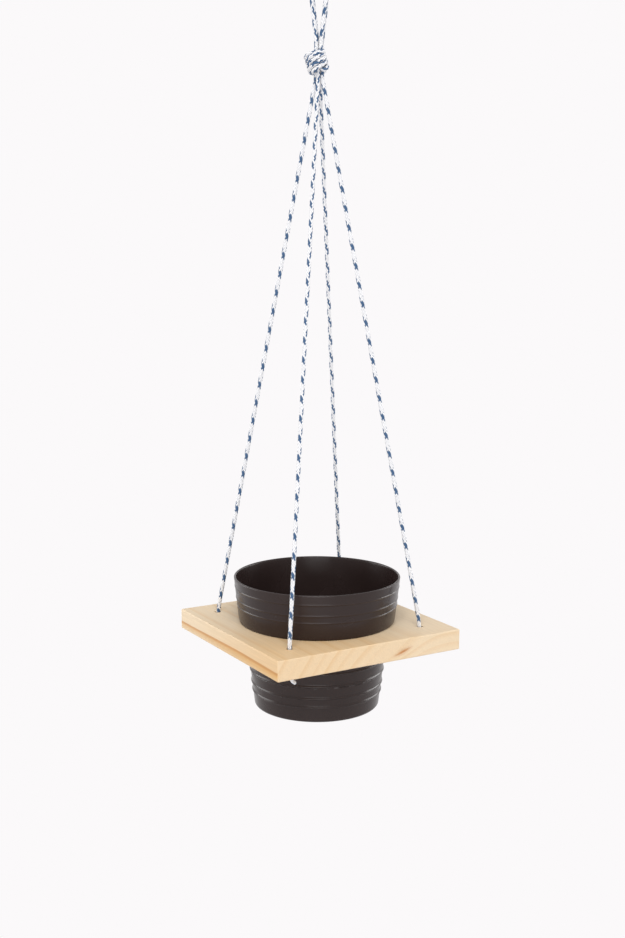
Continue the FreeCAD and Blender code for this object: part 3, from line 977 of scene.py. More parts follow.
def braided(
    route: np.ndarray,
    braid: Braid,
    diameter: float,
    toward: np.ndarray,
    first_mark: float = 0.0,
    extra: int = 0,
) -> Strand:
    """A cord along the NURBS line of its route.

    Args:
        route: Control points of the line.
        braid: The cord's braid.
        diameter: The cord's thickness.
        toward: The way that the tracers' marks face.
        first_mark: Distance along the cord to the middle of a mark.
        extra: Rings to add, which draws the braid a little closer.

    Returns:
        The strand, one ring per step of the braid.
    """
    line = evenly_spaced(nurbs_line(route), braid.spacing, extra)
    forward, sideways = carried_frames(line, toward)
    rings = np.arange(len(line)) - round(first_mark / braid.spacing)
    radius = np.full(len(line), diameter / 2)
    to_mark = -2 * math.pi * braid.mark_round
    return Strand(line, forward, sideways, radius, rings / braid.steps).twisted(to_mark, to_mark)


def eased_turn(
    start: np.ndarray, leaving: np.ndarray, end: np.ndarray, arriving: np.ndarray, count: int
) -> np.ndarray:
    """Points of a cubic turn from one point to another, without its start.

    Args:
        start: Where the turn begins.
        leaving: Handle at the start, the way and distance that the turn runs on.
        end: Where the turn ends.
        arriving: Handle at the end, the way and distance that the turn comes in.
        count: Number of points.

    Returns:
        The points.
    """
    t = (np.arange(1, count + 1) / count)[:, None]
    r = 1 - t
    return start * r**3 + 3 * (start + leaving) * r * r * t + 3 * (end - arriving) * r * t * t + end * t**3


def half_turned(points: np.ndarray, bearing: float) -> np.ndarray:
    """The stretch turned over about a level axis at this bearing, and run backwards."""
    axis = polar(1.0, bearing, 0.0)
    return (2 * (points @ axis)[:, None] * axis - points)[::-1]


@dataclass
class OverhandKnot:
    """An overhand knot: its strand goes down, out below, round and up, in above, down again.

    Sizes that end in share are shares of the pitch between neighbouring strands. The
    strand winds from the bearing turn to the bearing sweep less turn, and eased turns join
    that to the two upright strands inside, which lie at the bearings 0 and sweep.
    """

    pitch: float
    strand: float
    core_share: float
    lead_share: float
    down_share: float
    along_share: float
    turn: float
    sweep: float
    wrap_points: int
    taper: float
    turn_points: int = 6

    def winding_radius(self, bearing: Any) -> Any:
        """Distance of the winding from the knot's axis, which each kind of knot gives."""
        raise NotImplementedError

    def winding(self, bearing: Any) -> np.ndarray:
        """Points of the winding, which climbs evenly as it goes round.

        Args:
            bearing: Angle about the axis, a number or an array.

        Returns:
            One point, or an array of points.
        """
        climb = self.lead_share * self.pitch / (2 * math.pi)
        return polar(self.winding_radius(bearing), bearing, (bearing - self.sweep / 2) * climb)

    def wrapped(self, core_foot: np.ndarray) -> np.ndarray:
        """Control points from the foot of one upright strand to the head of the other.

        The way out is a cubic turn from straight down to the winding's own heading, and
        the way in is the way out turned over.

        Args:
            core_foot: Where the first upright strand ends.

        Returns:
            The points.
        """
        leaving = DOWN * (self.down_share * self.pitch)
        heading = unit(self.winding(self.turn + NUDGE) - self.winding(self.turn - NUDGE))
        arriving = heading * (self.along_share * self.pitch)
        turn = eased_turn(core_foot, leaving, self.winding(self.turn), arriving, self.turn_points)
        out = np.vstack([core_foot, turn])
        bearings = np.linspace(self.turn, self.sweep - self.turn, self.wrap_points + 1)[1:]
        return np.vstack([out, self.winding(bearings), half_turned(out, self.sweep / 2)[1:]])

    def squeezed(self, strand: Strand, spacing: float) -> Strand:
        """The strand drawn to the knot's thickness, and left as it was at both ends.

        Args:
            strand: The strand.
            spacing: Distance between its rings.

        Returns:
            The strand.
        """
        rings = np.arange(len(strand.line))
        from_end = np.minimum(rings, rings[::-1]) * spacing
        share = smooth_step(0.0, self.taper, from_end)
        return replace(strand, radius=strand.radius + (self.strand / 2 - strand.radius) * share)


@dataclass
class GatheringKnot(OverhandKnot):
    """The knot that gathers the four cords: each strand is an overhand knot round them all.

    The four strands are the same one, each a quarter turn on. As hands leave it, the
    knot's body leans, and sits high and to the left.
    """

    pitch: float = 3.8 * MM
    strand: float = 3.9 * MM
    core_share: float = 1.51
    lead_share: float = 4.2
    down_share: float = 1.02
    along_share: float = 1.98
    turn: float = math.radians(51)
    sweep: float = 2 * math.pi + QUARTER / 2
    wrap_points: int = 14
    taper: float = 6.0 * MM
    top: float = -60.0 * MM
    end_share: float = 3.35
    ease_share: float = 0.45
    stub_share: float = 0.2
    ease_points: int = 3
    twist: float = math.radians(270)
    lean: float = math.radians(16)
    set_aside: float = 2.6 * MM
    set_up: float = 2.0 * MM
    level_half: float = 5.0 * MM

    @property
    def half(self) -> float:
        """Half the knot's height."""
        return self.end_share * self.pitch

    @property
    def foot(self) -> float:
        """Height where the legs leave the knot."""
        return self.top - 2 * self.half

    @property
    def core_radius(self) -> float:
        """Radius of the ring of eight core strands, one pitch apart."""
        return self.pitch / (2 * math.sin(QUARTER / 4))

    def winding_radius(self, bearing: Any) -> Any:
        """One pitch outside the core, all the way round."""
        return self.core_radius + self.pitch

    def route(self, bundle: float, leg_slope: np.ndarray) -> np.ndarray:
        """Control points of one strand.

        It comes down into the core at bearing 0, turns out below, winds once and an
        eighth round all eight core strands, turns in above them and goes down the core
        beside itself into its leg.

        Args:
            bundle: Radius of the bundle of four cords above and below.
            leg_slope: The way that the leg runs.

        Returns:
            The points, in the row frame.
        """
        core, end = self.core_share * self.pitch, self.half
        easing, stub = self.ease_share * (end - core), self.stub_share * self.pitch
        top = polar(bundle, 0.0, end)
        below = top + DOWN * stub
        core_head = polar(self.core_radius, 0.0, core)
        entry = eased_turn(below, DOWN * easing, core_head, DOWN * easing, self.ease_points)
        wrapped = self.wrapped(polar(self.core_radius, 0.0, -core))
        out_foot = polar(self.core_radius, self.sweep, -core)
        foot = polar(bundle, self.sweep, -end)
        leg_head = foot - leg_slope * stub
        leaving = eased_turn(out_foot, DOWN * easing, leg_head, leg_slope * easing, self.ease_points)
        return np.vstack([top, below, entry, wrapped, out_foot, leaving, foot]) + DOWN * (end - self.top)

    def hand_tied(self, route: np.ndarray, right: np.ndarray) -> np.ndarray:
        """The route as hands leave it.

        The lean turns the body about its middle, and lean and shift fade out towards the
        ends, which stay in place.

        Args:
            route: Control points of a strand.
            right: The viewer's right.

        Returns:
            The moved points.
        """
        middle = DOWN * (self.half - self.top)
        off = route - middle
        share = (1 - smooth_step(self.level_half, self.half, np.abs(off[:, 2])))[:, None]
        out, up = (off @ right)[:, None], off[:, 2:]
        cosine, sine = math.cos(self.lean), math.sin(self.lean)
        aside = (out * (cosine - 1) - up * sine - self.set_aside) * right
        raised = (out * sine + up * (cosine - 1) + self.set_up) * -DOWN
        return route + share * (aside + raised)


@dataclass
class StopperKnot(OverhandKnot):
    """An overhand knot drawn tight under the board, with the cord's cut end below it.

    aside is how far the cut end points to one side. The end is melted round over the
    length cut_round, as a quarter of an ellipse that stops cut_close of the way in.
    """

    pitch: float = 3.9 * MM
    strand: float = 3.6 * MM
    core_share: float = 0.13
    lead_share: float = 1.51
    down_share: float = 0.79
    along_share: float = 1.30
    turn: float = math.radians(119)
    sweep: float = 3 * math.pi
    wrap_points: int = 12
    taper: float = 5.0 * MM
    soften: float = 0.02
    tail: float = 5.0 * MM
    aside: float = 0.0
    cut_round: float = 1.3 * MM
    cut_close: float = 0.95

    def winding_radius(self, bearing: Any) -> Any:
        """Distance that keeps the winding one pitch from the nearer upright strand.

        It is the third side of a triangle whose other sides are the pitch and the half
        pitch from the axis to that strand. soften rounds the change from one strand to the
        other.

        Args:
            bearing: Angle about the axis, a number or an array.

        Returns:
            The distances.
        """
        along = np.sqrt(np.cos(bearing) ** 2 + self.soften)
        return self.pitch / 2 * (along + np.sqrt(along * along + 3))

    def route(self) -> np.ndarray:
        """Control points from the strand that comes down from the board to the cut end.

        Returns:
            The points, counted from the first one.
        """
        beside = self.pitch / 2
        wrapped = self.wrapped(np.array([beside, 0, -self.core_share * self.pitch]))
        reach = np.abs(wrapped[:, 2]).max() + self.pitch / 2
        start, low = np.array([beside, 0, reach]), -reach - self.tail
        tail = np.array([[-beside, self.aside / 4, low], [-beside, self.aside, low]])
        return np.vstack([start, wrapped, tail]) - start

    def melted(self, strand: Strand, spacing: float) -> Strand:
        """The strand with its cut end rounded, as a quarter of an ellipse along it.

        Args:
            strand: The strand, which ends at the cut.
            spacing: Distance between its rings.

        Returns:
            The strand.
        """
        to_cut = np.arange(len(strand.line))[::-1] * spacing
        rounding = np.clip(1 - to_cut / self.cut_round, 0, self.cut_close)
        return replace(strand, radius=strand.radius * np.sqrt(1 - rounding**2))


@dataclass(frozen=True)
class LegBraid:
    """How a leg's tracers lie: where a mark is, and which way the marks face.

    first_mark is counted from the gathering knot. The angles are counted from the side
    that faces the viewer, to the left, at the leg's top and at its foot.
    """

    first_mark: float
    facing_top: float = 0.0
    facing_foot: float = 0.0


@dataclass
class HangingCords:
    """Two braided cords: a loop over the hook, the gathering knot, four legs, four stoppers.

    A taut cord's line is straight until straight_diameters before a bar or a hole.
    """

    braid: Braid
    finish: BraidedCord
    viewer: np.ndarray
    diameter: float = 4.0 * MM
    clearance: float = 0.3 * MM
    straight_diameters: int = 6
    hole_place: float = HOLE_PLACE
    hole_mouth: float = -607.0 * MM
    leg_end: float = -627.3 * MM
    bar_radius: float = 6.0 * MM
    neck_top: float = -52.0 * MM
    arm_split: float = -22.0 * MM
    arm_foot: float = -55.6 * MM
    crown_points: int = 6

    LEG_BRAIDS: ClassVar[dict[Corner, LegBraid]] = {
        Corner.BACK: LegBraid(16.3 * MM, math.radians(-60), math.radians(-60)),
        Corner.LEFT: LegBraid(20.0 * MM),
        Corner.FRONT: LegBraid(8.0 * MM, math.radians(85), math.radians(10)),
        Corner.RIGHT: LegBraid(12.1 * MM),
    }
    STOPPERS: ClassVar[dict[Corner, StopperKnot]] = {
        Corner.BACK: StopperKnot(),
        Corner.LEFT: StopperKnot(),
        Corner.FRONT: StopperKnot(tail=3.4 * MM, aside=5.5 * MM),
        Corner.RIGHT: StopperKnot(tail=0.8 * MM),
    }

    def __post_init__(self) -> None:
        """Works out the bundle, the knot and the way that a leg runs."""
        self.knot = GatheringKnot()
        self.straight_run = self.straight_diameters * self.diameter
        self.beside = (self.diameter + self.clearance) / 2
        self.bundle = self.beside * math.sqrt(2)
        bearing, out = QUARTER / 2, self.hole_place * math.sqrt(2)
        self.leg_top = polar(self.bundle, bearing, self.knot.foot)
        self.mouth = polar(out, bearing, self.hole_mouth)
        self.foot = polar(out, bearing, self.leg_end)
        self.slope = unit(self.mouth - self.leg_top)
        self.legs: dict[Corner, Strand] = {}
        self.tied: dict[Corner, Strand] = {}
        self.pieces: list[bpy.types.Object] = []

    def build(self) -> list[bpy.types.Object]:
        """Makes every piece of cord.

        Returns:
            The pieces.
        """
        for corner in Corner:
            self.leg(corner)
        self.gathering_knot()
        for corner in Corner:
            self.stopper_knot(corner)
        self.loop()
        return self.pieces

    def piece(self, name: str, strands: list[Strand], *nodes: str) -> bpy.types.Object:
        """Makes one piece from strands, in place of solids.

        Args:
            name: Name of the piece.
            strands: Its strands.
            *nodes: The solids that it stands for.

        Returns:
            The piece.
        """
        surface = joined([strand.surface(self.braid) for strand in strands])
        piece = surface.to_object(name, self.finish.material)
        self.pieces.append(piece)
        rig.replaces(piece, *nodes)
        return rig.slot(piece, Slot.CORD.value)

    def leg(self, corner: Corner) -> None:
        """A taut leg, straight from the knot to shortly before its hole, then down through it.

        Args:
            corner: The leg's corner of the board.
        """
        near_hole = self.mouth - self.slope * self.straight_run
        route = turned(np.stack([self.leg_top, near_hole, self.mouth, self.foot]), corner.turn)
        lie = self.LEG_BRAIDS[corner]
        strand = braided(route, self.braid, self.diameter, self.viewer, lie.first_mark)
        strand = self.legs[corner] = strand.twisted(lie.facing_top, lie.facing_foot)
        label = corner.name.lower()
        leg = self.piece(f"braided_leg_{label}", [strand], f"cord_leg_{label}")
        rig.ride(leg, "cradle")
        length = step_lengths(strand.line).sum()
        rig.cord(
            leg, exit=strand.line[0], length=length, diameter=self.diameter, far_end="knot",
            stiffness="limp", lay="taut", path=strand.line,
        )

    def gathering_knot(self) -> None:
        """Four strands, each a quarter turn on from the last, twisted and squeezed in the knot."""
        route = self.knot.route(self.bundle, self.slope)
        right = np.cross(-DOWN, self.viewer)
        for corner in Corner:
            tied = self.knot.hand_tied(turned(route, corner.turn), right)
            strand = braided(tied, self.braid, self.diameter, self.viewer)
            strand = strand.meeting(self.legs[corner], -1, 0).twisted(self.knot.twist, 0.0)
            self.tied[corner] = self.knot.squeezed(strand, self.braid.spacing)
        knot = self.piece("gathering_knot_strands", list(self.tied.values()), "gathering_knot")
        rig.ride(knot, "cradle")

    def stopper_knot(self, corner: Corner) -> None:
        """One strand, squeezed thinner inside the knot, with a melted round end.

        Args:
            corner: The knot's corner of the board.
        """
        stopper, spacing = self.STOPPERS[corner], self.braid.spacing
        route = turned(stopper.route(), QUARTER / 2) + self.foot
        strand = braided(turned(route, corner.turn), self.braid, self.diameter, self.viewer)
        strand = stopper.squeezed(strand.meeting(self.legs[corner], 0, -1), spacing)
        label = corner.name.lower()
        knot = self.piece(f"stopper_{label}", [stopper.melted(strand, spacing)], f"stopper_knot_{label}")
        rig.ride(knot, "cradle")

    def loop_route(self) -> np.ndarray:
        """Control points of one cord of the loop, in its own upright plane.

        The points round the bar are the corners of the outline that touches the cord's
        circle, so the line follows that circle. A point below the bar keeps each arm
        straight.

        Returns:
            Rows of (out along the loop, height), from one end at the knot to the other.
        """
        bend = self.bar_radius + self.diameter / 2
        rise = self.neck_top + self.bar_radius
        touch = math.atan2(rise, self.beside) + math.acos(bend / math.hypot(self.beside, rise))
        step = (math.pi - 2 * touch) / self.crown_points
        bearing = touch + step * (np.arange(self.crown_points) + 0.5)
        corners = np.column_stack([np.cos(bearing), np.sin(bearing)]) * (bend / math.cos(step / 2))
        crown = corners - [0, self.bar_radius]
        neck = np.array([[self.beside, self.knot.top], [self.beside, self.neck_top]])
        below_bar = crown[0] + unit(neck[1] - crown[0]) * self.straight_run
        one_side = np.vstack([neck, below_bar])
        return np.vstack([one_side, crown, one_side[::-1] * [-1, 1]])

    def loop_cord(self, route: np.ndarray, rising: Corner, falling: Corner) -> Strand:
        """One cord of the loop, its braid in step with the strands at both its ends.

        Rings are added or taken away until its turns meet the strands' turns, and what is
        left of the angle is twisted in evenly along it.

        Args:
            route: Control points of the cord.
            rising: The knot's strand that it comes up from.
            falling: The knot's strand that it goes down to.

        Returns:
            The strand, from the first end over the hook to the other.
        """
        below, after = self.tied[rising].backwards(self.braid), self.tied[falling]
        steps = self.braid.steps
        strand = braided(route, self.braid, self.diameter, self.viewer)
        short = round((after.turns[0] - below.turns[-1]) * steps) - (len(strand.line) - 1)
        extra = (short + steps // 2) % steps - steps // 2
        strand = braided(route, self.braid, self.diameter, self.viewer, extra=extra)
        strand = strand.meeting(below, 0, -1)
        return strand.twisted(0.0, strand.angle_to(after.forward[0], -1))

    def loop(self) -> None:
        """Two cords over the hook, cut where the hinges of the loop begin and end."""
        spread, along_bar = polar(1.0, -QUARTER / 2, 0.0), polar(1.0, QUARTER / 2, 0.0)
        levels = [-self.bar_radius, self.arm_split, self.arm_foot, self.knot.top]
        flat = self.loop_route()
        crowns, upper, lower, necks = [], [], [], []
        for side, rising, falling in ((-1, Corner.RIGHT, Corner.FRONT), (1, Corner.BACK, Corner.LEFT)):
            route = flat[:, :1] * spread + flat[:, 1:] * -DOWN + along_bar * (side * self.beside)
            strand = self.loop_cord(route, rising, falling)
            height = strand.line[:, 2]
            last = len(height) - 1
            bar, arm, neck = [int(np.argmax(height > level)) for level in levels[:-1]]
            crowns.append(strand.part(bar, last - bar))
            upper += [strand.part(arm, bar), strand.part(last - bar, last - arm)]
            lower += [strand.part(neck, arm), strand.part(last - arm, last - neck)]
            necks += [strand.part(0, neck), strand.part(last - neck, last)]
        for label, crown in zip(("near", "far"), crowns):
            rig.ride(self.piece(f"loop_over_hook_{label}", [crown], f"loop_crown_{label}"), "hook_loop")
        stretches = (
            ("loop_arms_upper", upper, "loop_arms", "hook_loop", "arms"),
            ("loop_arms_lower", lower, "loop_arms", "arms", "neck"),
            ("loop_neck_bundle", necks, "loop_neck", "neck", "cradle"),
        )
        for (name, strands, node, above, below), start, end in zip(stretches, levels, levels[1:]):
            stretch = self.piece(name, strands, node)
            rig.blend(stretch, above, below, start=(0, 0, start), end=(0, 0, end))


# Board

@dataclass
class PineBoard:
    """The square board: a round seat for the pot, a hole at each corner, sanded edges."""

    top: float
    thickness: float
    side: float
    seat_radius: float = 75.0 * MM
    corner_round: float = 1.6 * MM
    edge_round: float = 1.1 * MM
    seat_round: float = 0.8 * MM
    hole_place: float = HOLE_PLACE
    hole_radius: float = 3.25 * MM
    hole_round: float = 0.4 * MM
    cutter_past: float = 2.0 * MM
    side_points: int = 44
    round_points: int = 5
    face_rows: int = 7
    hole_columns: int = 32

    def outline(self) -> tuple[np.ndarray, np.ndarray]:
        """The rounded square's spine and outward directions.

        A point of the outline is a point of the spine plus the corner radius along its
        direction. Along a side the spine moves and the direction stays, and at a corner
        the spine stays and the direction turns.

        Returns:
            Spine points and directions, once round.
        """
        reach = self.side / 2 - self.corner_round
        along = np.linspace(-reach, reach, self.side_points)
        bend = np.linspace(0, QUARTER, self.round_points + 2)[1:-1]
        side_spine = polar(1.0, 0.0, 0.0) * reach + np.outer(along, [0, 1, 0])
        corner_spine = np.tile([reach, reach, 0.0], (len(bend), 1))
        spine = np.concatenate([side_spine, corner_spine])
        direction = np.concatenate([np.tile([1.0, 0, 0], (len(along), 1)), polar(1.0, bend, 0.0)])
        return (
            np.concatenate([turned(spine, corner.turn) for corner in Corner]),
            np.concatenate([turned(direction, corner.turn) for corner in Corner]),
        )

    def surface(self) -> Surface:
        """The board's section carried round its seat.

        A row of the grid lies a share of the way from the seat's circle to the outline,
        both drawn back by the rounding there, at one height. The section runs up the seat,
        out over the top, down the edge and back in underneath.

        Returns:
            The closed surface, without the cord holes.
        """
        bend = np.linspace(0, QUARTER, self.round_points)
        back, up = 1 - np.cos(bend), np.sin(bend)
        half = self.thickness / 2
        share_over = np.linspace(0, 1, self.face_rows + 2)[1:-1]
        seat_up = np.column_stack([0 * bend, self.seat_round * back, half - self.seat_round * (1 - up)])
        over = np.column_stack([share_over, 0 * share_over, 0 * share_over + half])
        edge_up = np.column_stack([0 * bend + 1, self.edge_round * back, half - self.edge_round * (1 - up)])
        upper = np.concatenate([seat_up, over, edge_up[::-1]])
        lower = upper[::-1] * [1, 1, -1]
        rows = np.concatenate([upper, lower])
        share, drawn, height = rows[:, 0, None, None], rows[:, 1, None, None], rows[:, 2, None, None]

        spine, direction = self.outline()
        rim = spine + direction * self.corner_round
        outward = unit(rim)
        edge_drawn = np.where(share >= 1, drawn, self.edge_round)
        seat_drawn = np.where(share <= 0, drawn, self.seat_round)
        inner = outward * (self.seat_radius + seat_drawn)
        outer = spine + direction * (self.corner_round - edge_drawn)
        middle = self.top - half
        points = inner + (outer - inner) * share + (height + middle) * -DOWN
        columns = len(spine)
        quads = grid_quads(len(rows), columns, closed_rows=True)

        # Top, underside and the edge's four sides stay flat-shaded between their roundings
        row, column = np.divmod(np.arange(len(quads)), columns)
        near, next_row = rows[row], rows[(row + 1) % len(rows)]
        level = np.abs(near[:, 2]) + np.abs(next_row[:, 2]) > self.thickness - TOLERANCE
        on_edge = (near[:, 0] >= 1) & (next_row[:, 0] >= 1)
        upright = on_edge & (near[:, 1] + next_row[:, 1] < TOLERANCE)
        on_side = column % (columns // len(Corner)) < self.side_points - 1
        return Surface(points.reshape(-1, 3), quads, [], {}, level | (upright & on_side))

    def hole_cutter(self) -> Surface:
        """Four rods with flared ends, which leave round-edged holes for the cords.

        A rod's section is straight, turns outwards in a quarter circle at each face of the
        board, and runs on past it.

        Returns:
            The rods as one surface.
        """
        bend = np.linspace(0, QUARTER, self.round_points)
        half, edge = self.thickness / 2, self.hole_round
        wide = self.hole_radius + edge
        upper = np.column_stack([wide - edge * np.cos(bend), half - edge * (1 - np.sin(bend))])
        upper = np.vstack([upper, [wide, half + self.cutter_past]])
        rod = turned_surface(np.vstack([upper[::-1] * [1, -1], upper]), self.hole_columns)
        place = np.array([self.hole_place, self.hole_place, self.top - half])
        return joined([replace(rod, points=turned(rod.points + place, corner.turn)) for corner in Corner])

    def build(self) -> list[bpy.types.Object]:
        """Makes the board and cuts its cord holes.

        Returns:
            The board alone.
        """
        finish = PlanedPine(self.top - self.thickness / 2)
        board = self.surface().to_object("pine_board", finish.material)
        cutter = self.hole_cutter().to_object("cord_hole_cutter", finish.material)
        cut = board.modifiers.new("cord_holes", "BOOLEAN")
        cut.operation = "DIFFERENCE"
        cut.solver = "EXACT"
        cut.object = cutter
        bpy.context.view_layer.update()
        evaluated = board.evaluated_get(bpy.context.evaluated_depsgraph_get())
        board.data = bpy.data.meshes.new_from_object(evaluated)
        board.modifiers.clear()
        bpy.data.objects.remove(cutter)
        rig.replaces(board, "board")
        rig.slot(board, Slot.PINE.value)
        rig.ride(board, "cradle")
        return [board]


# Pot

def arc(centre: tuple[float, float], radius: float, start: float, end: float, count: int = 6) -> np.ndarray:
    """Rows of (radius, height) along an arc of a section.

    Args:
        centre: The arc's centre.
        radius: The arc's radius.
        start: First bearing in degrees, from outward and turning upward.
        end: Last bearing in degrees.
        count: Number of rows.

    Returns:
        The rows.
    """
    bearing = np.radians(np.linspace(start, end, count))
    return np.column_stack([centre[0] + radius * np.cos(bearing), centre[1] + radius * np.sin(bearing)])


@dataclass
class RibbedPot:
    """The pot: a tapered body, a ledge that rests on the board, a collar, moulded rings.

    Rings are counted from the ledge, up on the collar and down on the body. wall_lean is
    the bearing in degrees where the foot's arc meets the wall. The middle is the small flat
    cap that closes the underside and the inside floor.
    """

    ledge: float
    rim: float
    base: float
    rim_radius: float = 82.5 * MM
    ledge_radius: float = 77.5 * MM
    body_radius: float = 72.0 * MM
    base_radius: float = 62.0 * MM
    middle_radius: float = 1.0 * MM
    wall: float = 2.2 * MM
    floor: float = 3.0 * MM
    base_round: float = 3.0 * MM
    ledge_round: float = 2.0 * MM
    floor_round: float = 2.0 * MM
    collar_relief: float = 0.4 * MM
    collar_flanks: tuple[float, float] = (1.0 * MM, 1.0 * MM)
    body_relief: float = 1.0 * MM
    body_flanks: tuple[float, float] = (0.9 * MM, 2.4 * MM)
    collar_rings: tuple[float, ...] = (35.5 * MM, 24.5 * MM, 17.5 * MM)
    body_rings: tuple[float, ...] = (36.5 * MM, 49.1 * MM, 61.7 * MM, 70.5 * MM)
    wall_lean: float = -8.0
    row_step: float = 1.5 * MM
    ring_rows: int = 15
    floor_rows: int = 8
    foot_rows: int = 8
    lip_rows: int = 9
    inner_collar_rows: int = 24
    inner_body_rows: int = 30
    columns: int = 192

    def wall_radius(self, height: np.ndarray) -> np.ndarray:
        """Outside radius of the plain wall: one taper below the ledge and one above it.

        Args:
            height: Heights on the wall.

        Returns:
            The radii.
        """
        on_body = np.interp(height, [self.base, self.ledge], [self.base_radius, self.body_radius])
        on_collar = np.interp(height, [self.ledge, self.rim], [self.ledge_radius, self.rim_radius])
        return np.where(height < self.ledge, on_body, on_collar)

    def ringed(self, low: float, high: float) -> np.ndarray:
        """The outside between two heights: the wall plus a raised cosine at each ring.

        Each ring's flanks below and above its crest have their own heights: a body ring is
        steep below, where it stays dark, and long above, where it takes a line of light.
        Rows lie a coarse step apart on the plain wall and close together on a ring.

        Args:
            low: The lower height.
            high: The upper height.

        Returns:
            Rows of (radius, height).
        """
        ups, downs = np.array(self.collar_rings), np.array(self.body_rings)
        middles = self.ledge + np.concatenate([ups, -downs])
        counts = [len(ups), len(downs)]
        relief = np.repeat([self.collar_relief, self.body_relief], counts)
        below, above = np.repeat([self.collar_flanks, self.body_flanks], counts, axis=0).T
        plain = np.linspace(low, high, math.ceil((high - low) / self.row_step))
        steps = np.linspace(-1, 1, self.ring_rows)[:, None]
        close = (middles + steps * np.where(steps < 0, below, above)).ravel()
        gap = plain[:, None] - middles
        between = ((gap < -below) | (gap > above)).all(axis=1)
        height = np.sort(np.concatenate([plain[between], close[(close > low) & (close < high)]]))
        gap = height[:, None] - middles
        off = np.clip(gap / np.where(gap < 0, below, above), -1, 1)
        rings = (relief * (0.5 + 0.5 * np.cos(math.pi * off))).sum(axis=1)
        return np.column_stack([self.wall_radius(height) + rings, height])

    def section(self) -> np.ndarray:
        """The pot's section, as straight stretches, ringed walls and arcs.

        Returns:
            Rows of (radius, height) from the middle of the underside, up the outside, over
            the rim and down the inside to the middle of the floor.
        """
        turn, ease, bend, lip = self.base_round, self.ledge_round, self.floor_round, self.wall / 2
        foot = float(self.wall_radius(np.array(self.base + turn))) - turn
        inside_ledge, floor = self.ledge + self.wall, self.base + self.floor
        inner_rim, inner_ledge = self.rim_radius - self.wall, self.ledge_radius - self.wall
        inner_body, inner_foot = self.body_radius - self.wall, self.base_radius - self.wall
        underside = (self.middle_radius, self.base), (foot, self.base)
        collar = (inner_rim, self.rim - lip), (inner_ledge, inside_ledge + ease)
        body = (inner_body, inside_ledge - ease), (inner_foot, floor + bend)
        inside_floor = (inner_foot - bend, floor), (self.middle_radius, floor)
        return np.vstack([
            np.linspace(*underside, self.floor_rows)[:-1],
            arc((foot, self.base + turn), turn, -90, self.wall_lean, self.foot_rows),
            self.ringed(self.base + turn, self.ledge - ease),
            arc((self.body_radius + ease, self.ledge - ease), ease, 180, 90)[1:],
            arc((self.ledge_radius - ease, self.ledge + ease), ease, -90, 0),
            self.ringed(self.ledge + ease, self.rim - lip)[1:],
            arc((self.rim_radius - lip, self.rim - lip), lip, 0, 180, self.lip_rows)[1:],
            np.linspace(*collar, self.inner_collar_rows)[1:-1],
            arc((inner_ledge - ease, inside_ledge + ease), ease, 0, -90),
            arc((inner_body + ease, inside_ledge - ease), ease, 90, 180),
            np.linspace(*body, self.inner_body_rows)[1:-1],
            arc((inner_foot - bend, floor + bend), bend, 0, -90),
            np.linspace(*inside_floor, self.floor_rows)[1:],
        ])

    def build(self) -> list[bpy.types.Object]:
        """Makes the pot.

        Returns:
            The pot alone.
        """
        finish = MouldedPlastic()
        pot = turned_surface(self.section(), self.columns).to_object("ribbed_pot", finish.material)
        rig.replaces(pot, "pot")
        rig.slot(pot, Slot.POT.value)
        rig.ride(pot, "pot")
        return [pot]


# Studio

@dataclass(frozen=True)
class SoftBox:
    """A soft light: where it stands, its width and height, and its power in watts."""

    name: str
    place: tuple[float, float, float]
    size: tuple[float, float]
    power: float

    def build(self, target: Vector) -> None:
        """Makes the light, facing a point.

        Args:
            target: The point.
        """
        light = bpy.data.lights.new(self.name, "AREA")
        light.shape = "RECTANGLE"
        light.size, light.size_y = self.size
        light.energy = self.power
        lamp = bpy.data.objects.new(self.name, light)
        lamp.location = self.place
        lamp.rotation_euler = (target - Vector(self.place)).to_track_quat("-Z", "Y").to_euler()
        bpy.context.scene.collection.objects.link(lamp)


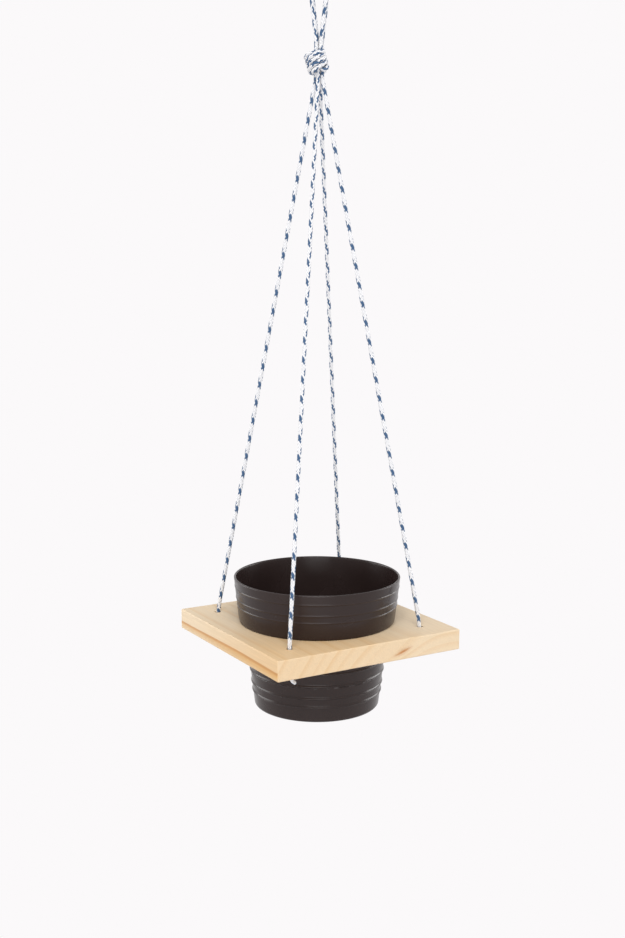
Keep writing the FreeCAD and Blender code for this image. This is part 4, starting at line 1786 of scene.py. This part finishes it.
@dataclass
class Studio:
    """Camera at the photograph's place, soft light, a near-white room and a pale floor."""

    eye: tuple[float, float, float] = (-0.6532, -1.0884, -0.2453)
    heading: float = math.radians(30.75)
    pitch: float = math.radians(-9.405)
    roll: float = math.radians(0.19)
    lens: float = 50.43
    sensor: float = 36.0
    backdrop: str = "#FBF9FA"
    room_colour: str = "#FAFAFC"
    room_light: float = 0.47
    floor_colour: str = "#E9E7E8"
    floor_roughness: float = 0.9
    floor_height: float = -2.0
    floor_reach: tuple[float, float] = (0.2, 9.0)
    floor_fade: tuple[float, float] = (0.7, 1.7)
    floor_rows: int = 12
    floor_columns: int = 96

    SOFT_BOXES: ClassVar[tuple[SoftBox, ...]] = (
        SoftBox("front", (-1.3, -2.2, -0.8), (1.6, 1.2), 18.0),
        SoftBox("side_left", (-1.55, 1.55, -0.3), (1.5, 0.7), 17.0),
        SoftBox("side_right", (2.15, -0.25, -0.3), (1.5, 0.7), 19.0),
        SoftBox("above_front", (-1.2, -2.0, 2.6), (2.2, 2.2), 86.0),
    )

    @property
    def toward_viewer(self) -> np.ndarray:
        """Level direction from the hanger to the viewer."""
        return unit(np.array([self.eye[0], self.eye[1], 0.0]))

    def camera(self) -> None:
        """Puts the camera at the photograph's place and angle."""
        lens = bpy.data.cameras.new("camera")
        lens.lens = self.lens
        lens.sensor_width = self.sensor
        camera = bpy.data.objects.new("camera", lens)
        aim = Matrix.Rotation(-self.heading, 4, "Z") @ Matrix.Rotation(QUARTER + self.pitch, 4, "X")
        camera.matrix_world = Matrix.Translation(self.eye) @ aim @ Matrix.Rotation(self.roll, 4, "Z")
        bpy.context.scene.collection.objects.link(camera)
        bpy.context.scene.camera = camera

    def room(self) -> None:
        """Even light from all round, and a near-white view of the room itself."""
        world = bpy.data.worlds.new("room")
        world.use_nodes = True
        nodes = Nodes(world.node_tree)
        light = nodes.add("Background", {"Color": linear(self.room_colour), "Strength": self.room_light})
        view = nodes.add("Background", {"Color": linear(self.backdrop)})
        nodes.add("OutputWorld", {0: nodes.add("MixShader", {0: nodes.in_sight(), 1: light, 2: view})})
        bpy.context.scene.world = world

    def floor(self) -> None:
        """A pale round floor far below, which fades into the room away from the hanger.

        Its profile runs outwards at one height, so the turned faces look down. They are
        turned over, and the outer cap is left off.
        """
        finish = Finish("pale_floor")
        add = finish.add
        place = add("TexCoord", {}, "Object")
        level = add("VectorMath", {0: place, 1: (1, 1, 0)}, operation="MULTIPLY")
        far = add("VectorMath", {0: level}, "Value", operation="LENGTH")
        fade = add("MapRange", {0: far, 1: self.floor_fade[0], 2: self.floor_fade[1]}, **EASED)
        share = add("Math", {0: finish.in_sight(), 1: fade}, operation="MULTIPLY")
        glow = add("Emission", {"Color": linear(self.backdrop), "Strength": 1.0})
        paint = {"Base Color": linear(self.floor_colour), "Roughness": self.floor_roughness}
        finish.feed(finish.shader, paint)
        faded = add("MixShader", {0: share, 1: finish.shader.outputs[0], 2: glow})
        finish.feed(finish.output, {0: faded})
        inner, outer = self.floor_reach
        ends = (inner, self.floor_height), (outer, self.floor_height)
        disc = turned_surface(np.linspace(*ends, self.floor_rows), self.floor_columns)
        disc = replace(disc, quads=disc.quads[:, ::-1], caps=[disc.caps[0][::-1]])
        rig.stage(disc.to_object("floor", finish.material))

    def build(self) -> None:
        """Sets up the camera, the light and the floor."""
        self.camera()
        self.room()
        for soft_box in self.SOFT_BOXES:
            soft_box.build((CAD_BOX[0] + CAD_BOX[1]) / 2)
        self.floor()
        bpy.context.scene.view_settings.view_transform = "Standard"


def write_sizes() -> None:
    """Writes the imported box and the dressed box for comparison."""
    boxes = {"cad": CAD_BOX, "visual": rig.bounds()}
    with open(SIZE_FILE, "w") as file:
        json.dump({name: [list(low), list(high)] for name, (low, high) in boxes.items()}, file)


def main() -> None:
    """Builds the studio, the cords, the board and the pot, and reports each piece."""
    logging.basicConfig(level=logging.INFO, format="%(name)s: %(message)s")
    studio = Studio()
    studio.build()
    braid = Braid()
    board_low, board_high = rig.box("board")
    pot_low, pot_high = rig.box("pot")
    makers = (
        HangingCords(braid, BraidedCord(braid), studio.toward_viewer),
        PineBoard(board_high.z, board_high.z - board_low.z, board_high.x - board_low.x),
        RibbedPot(board_high.z, pot_high.z, pot_low.z),
    )
    for maker in makers:
        for piece in maker.build():
            mesh = piece.data
            LOG.info("%s: %d points, %d faces", piece.name, len(mesh.vertices), len(mesh.polygons))
    write_sizes()


if __name__ == "__main__":
    main()
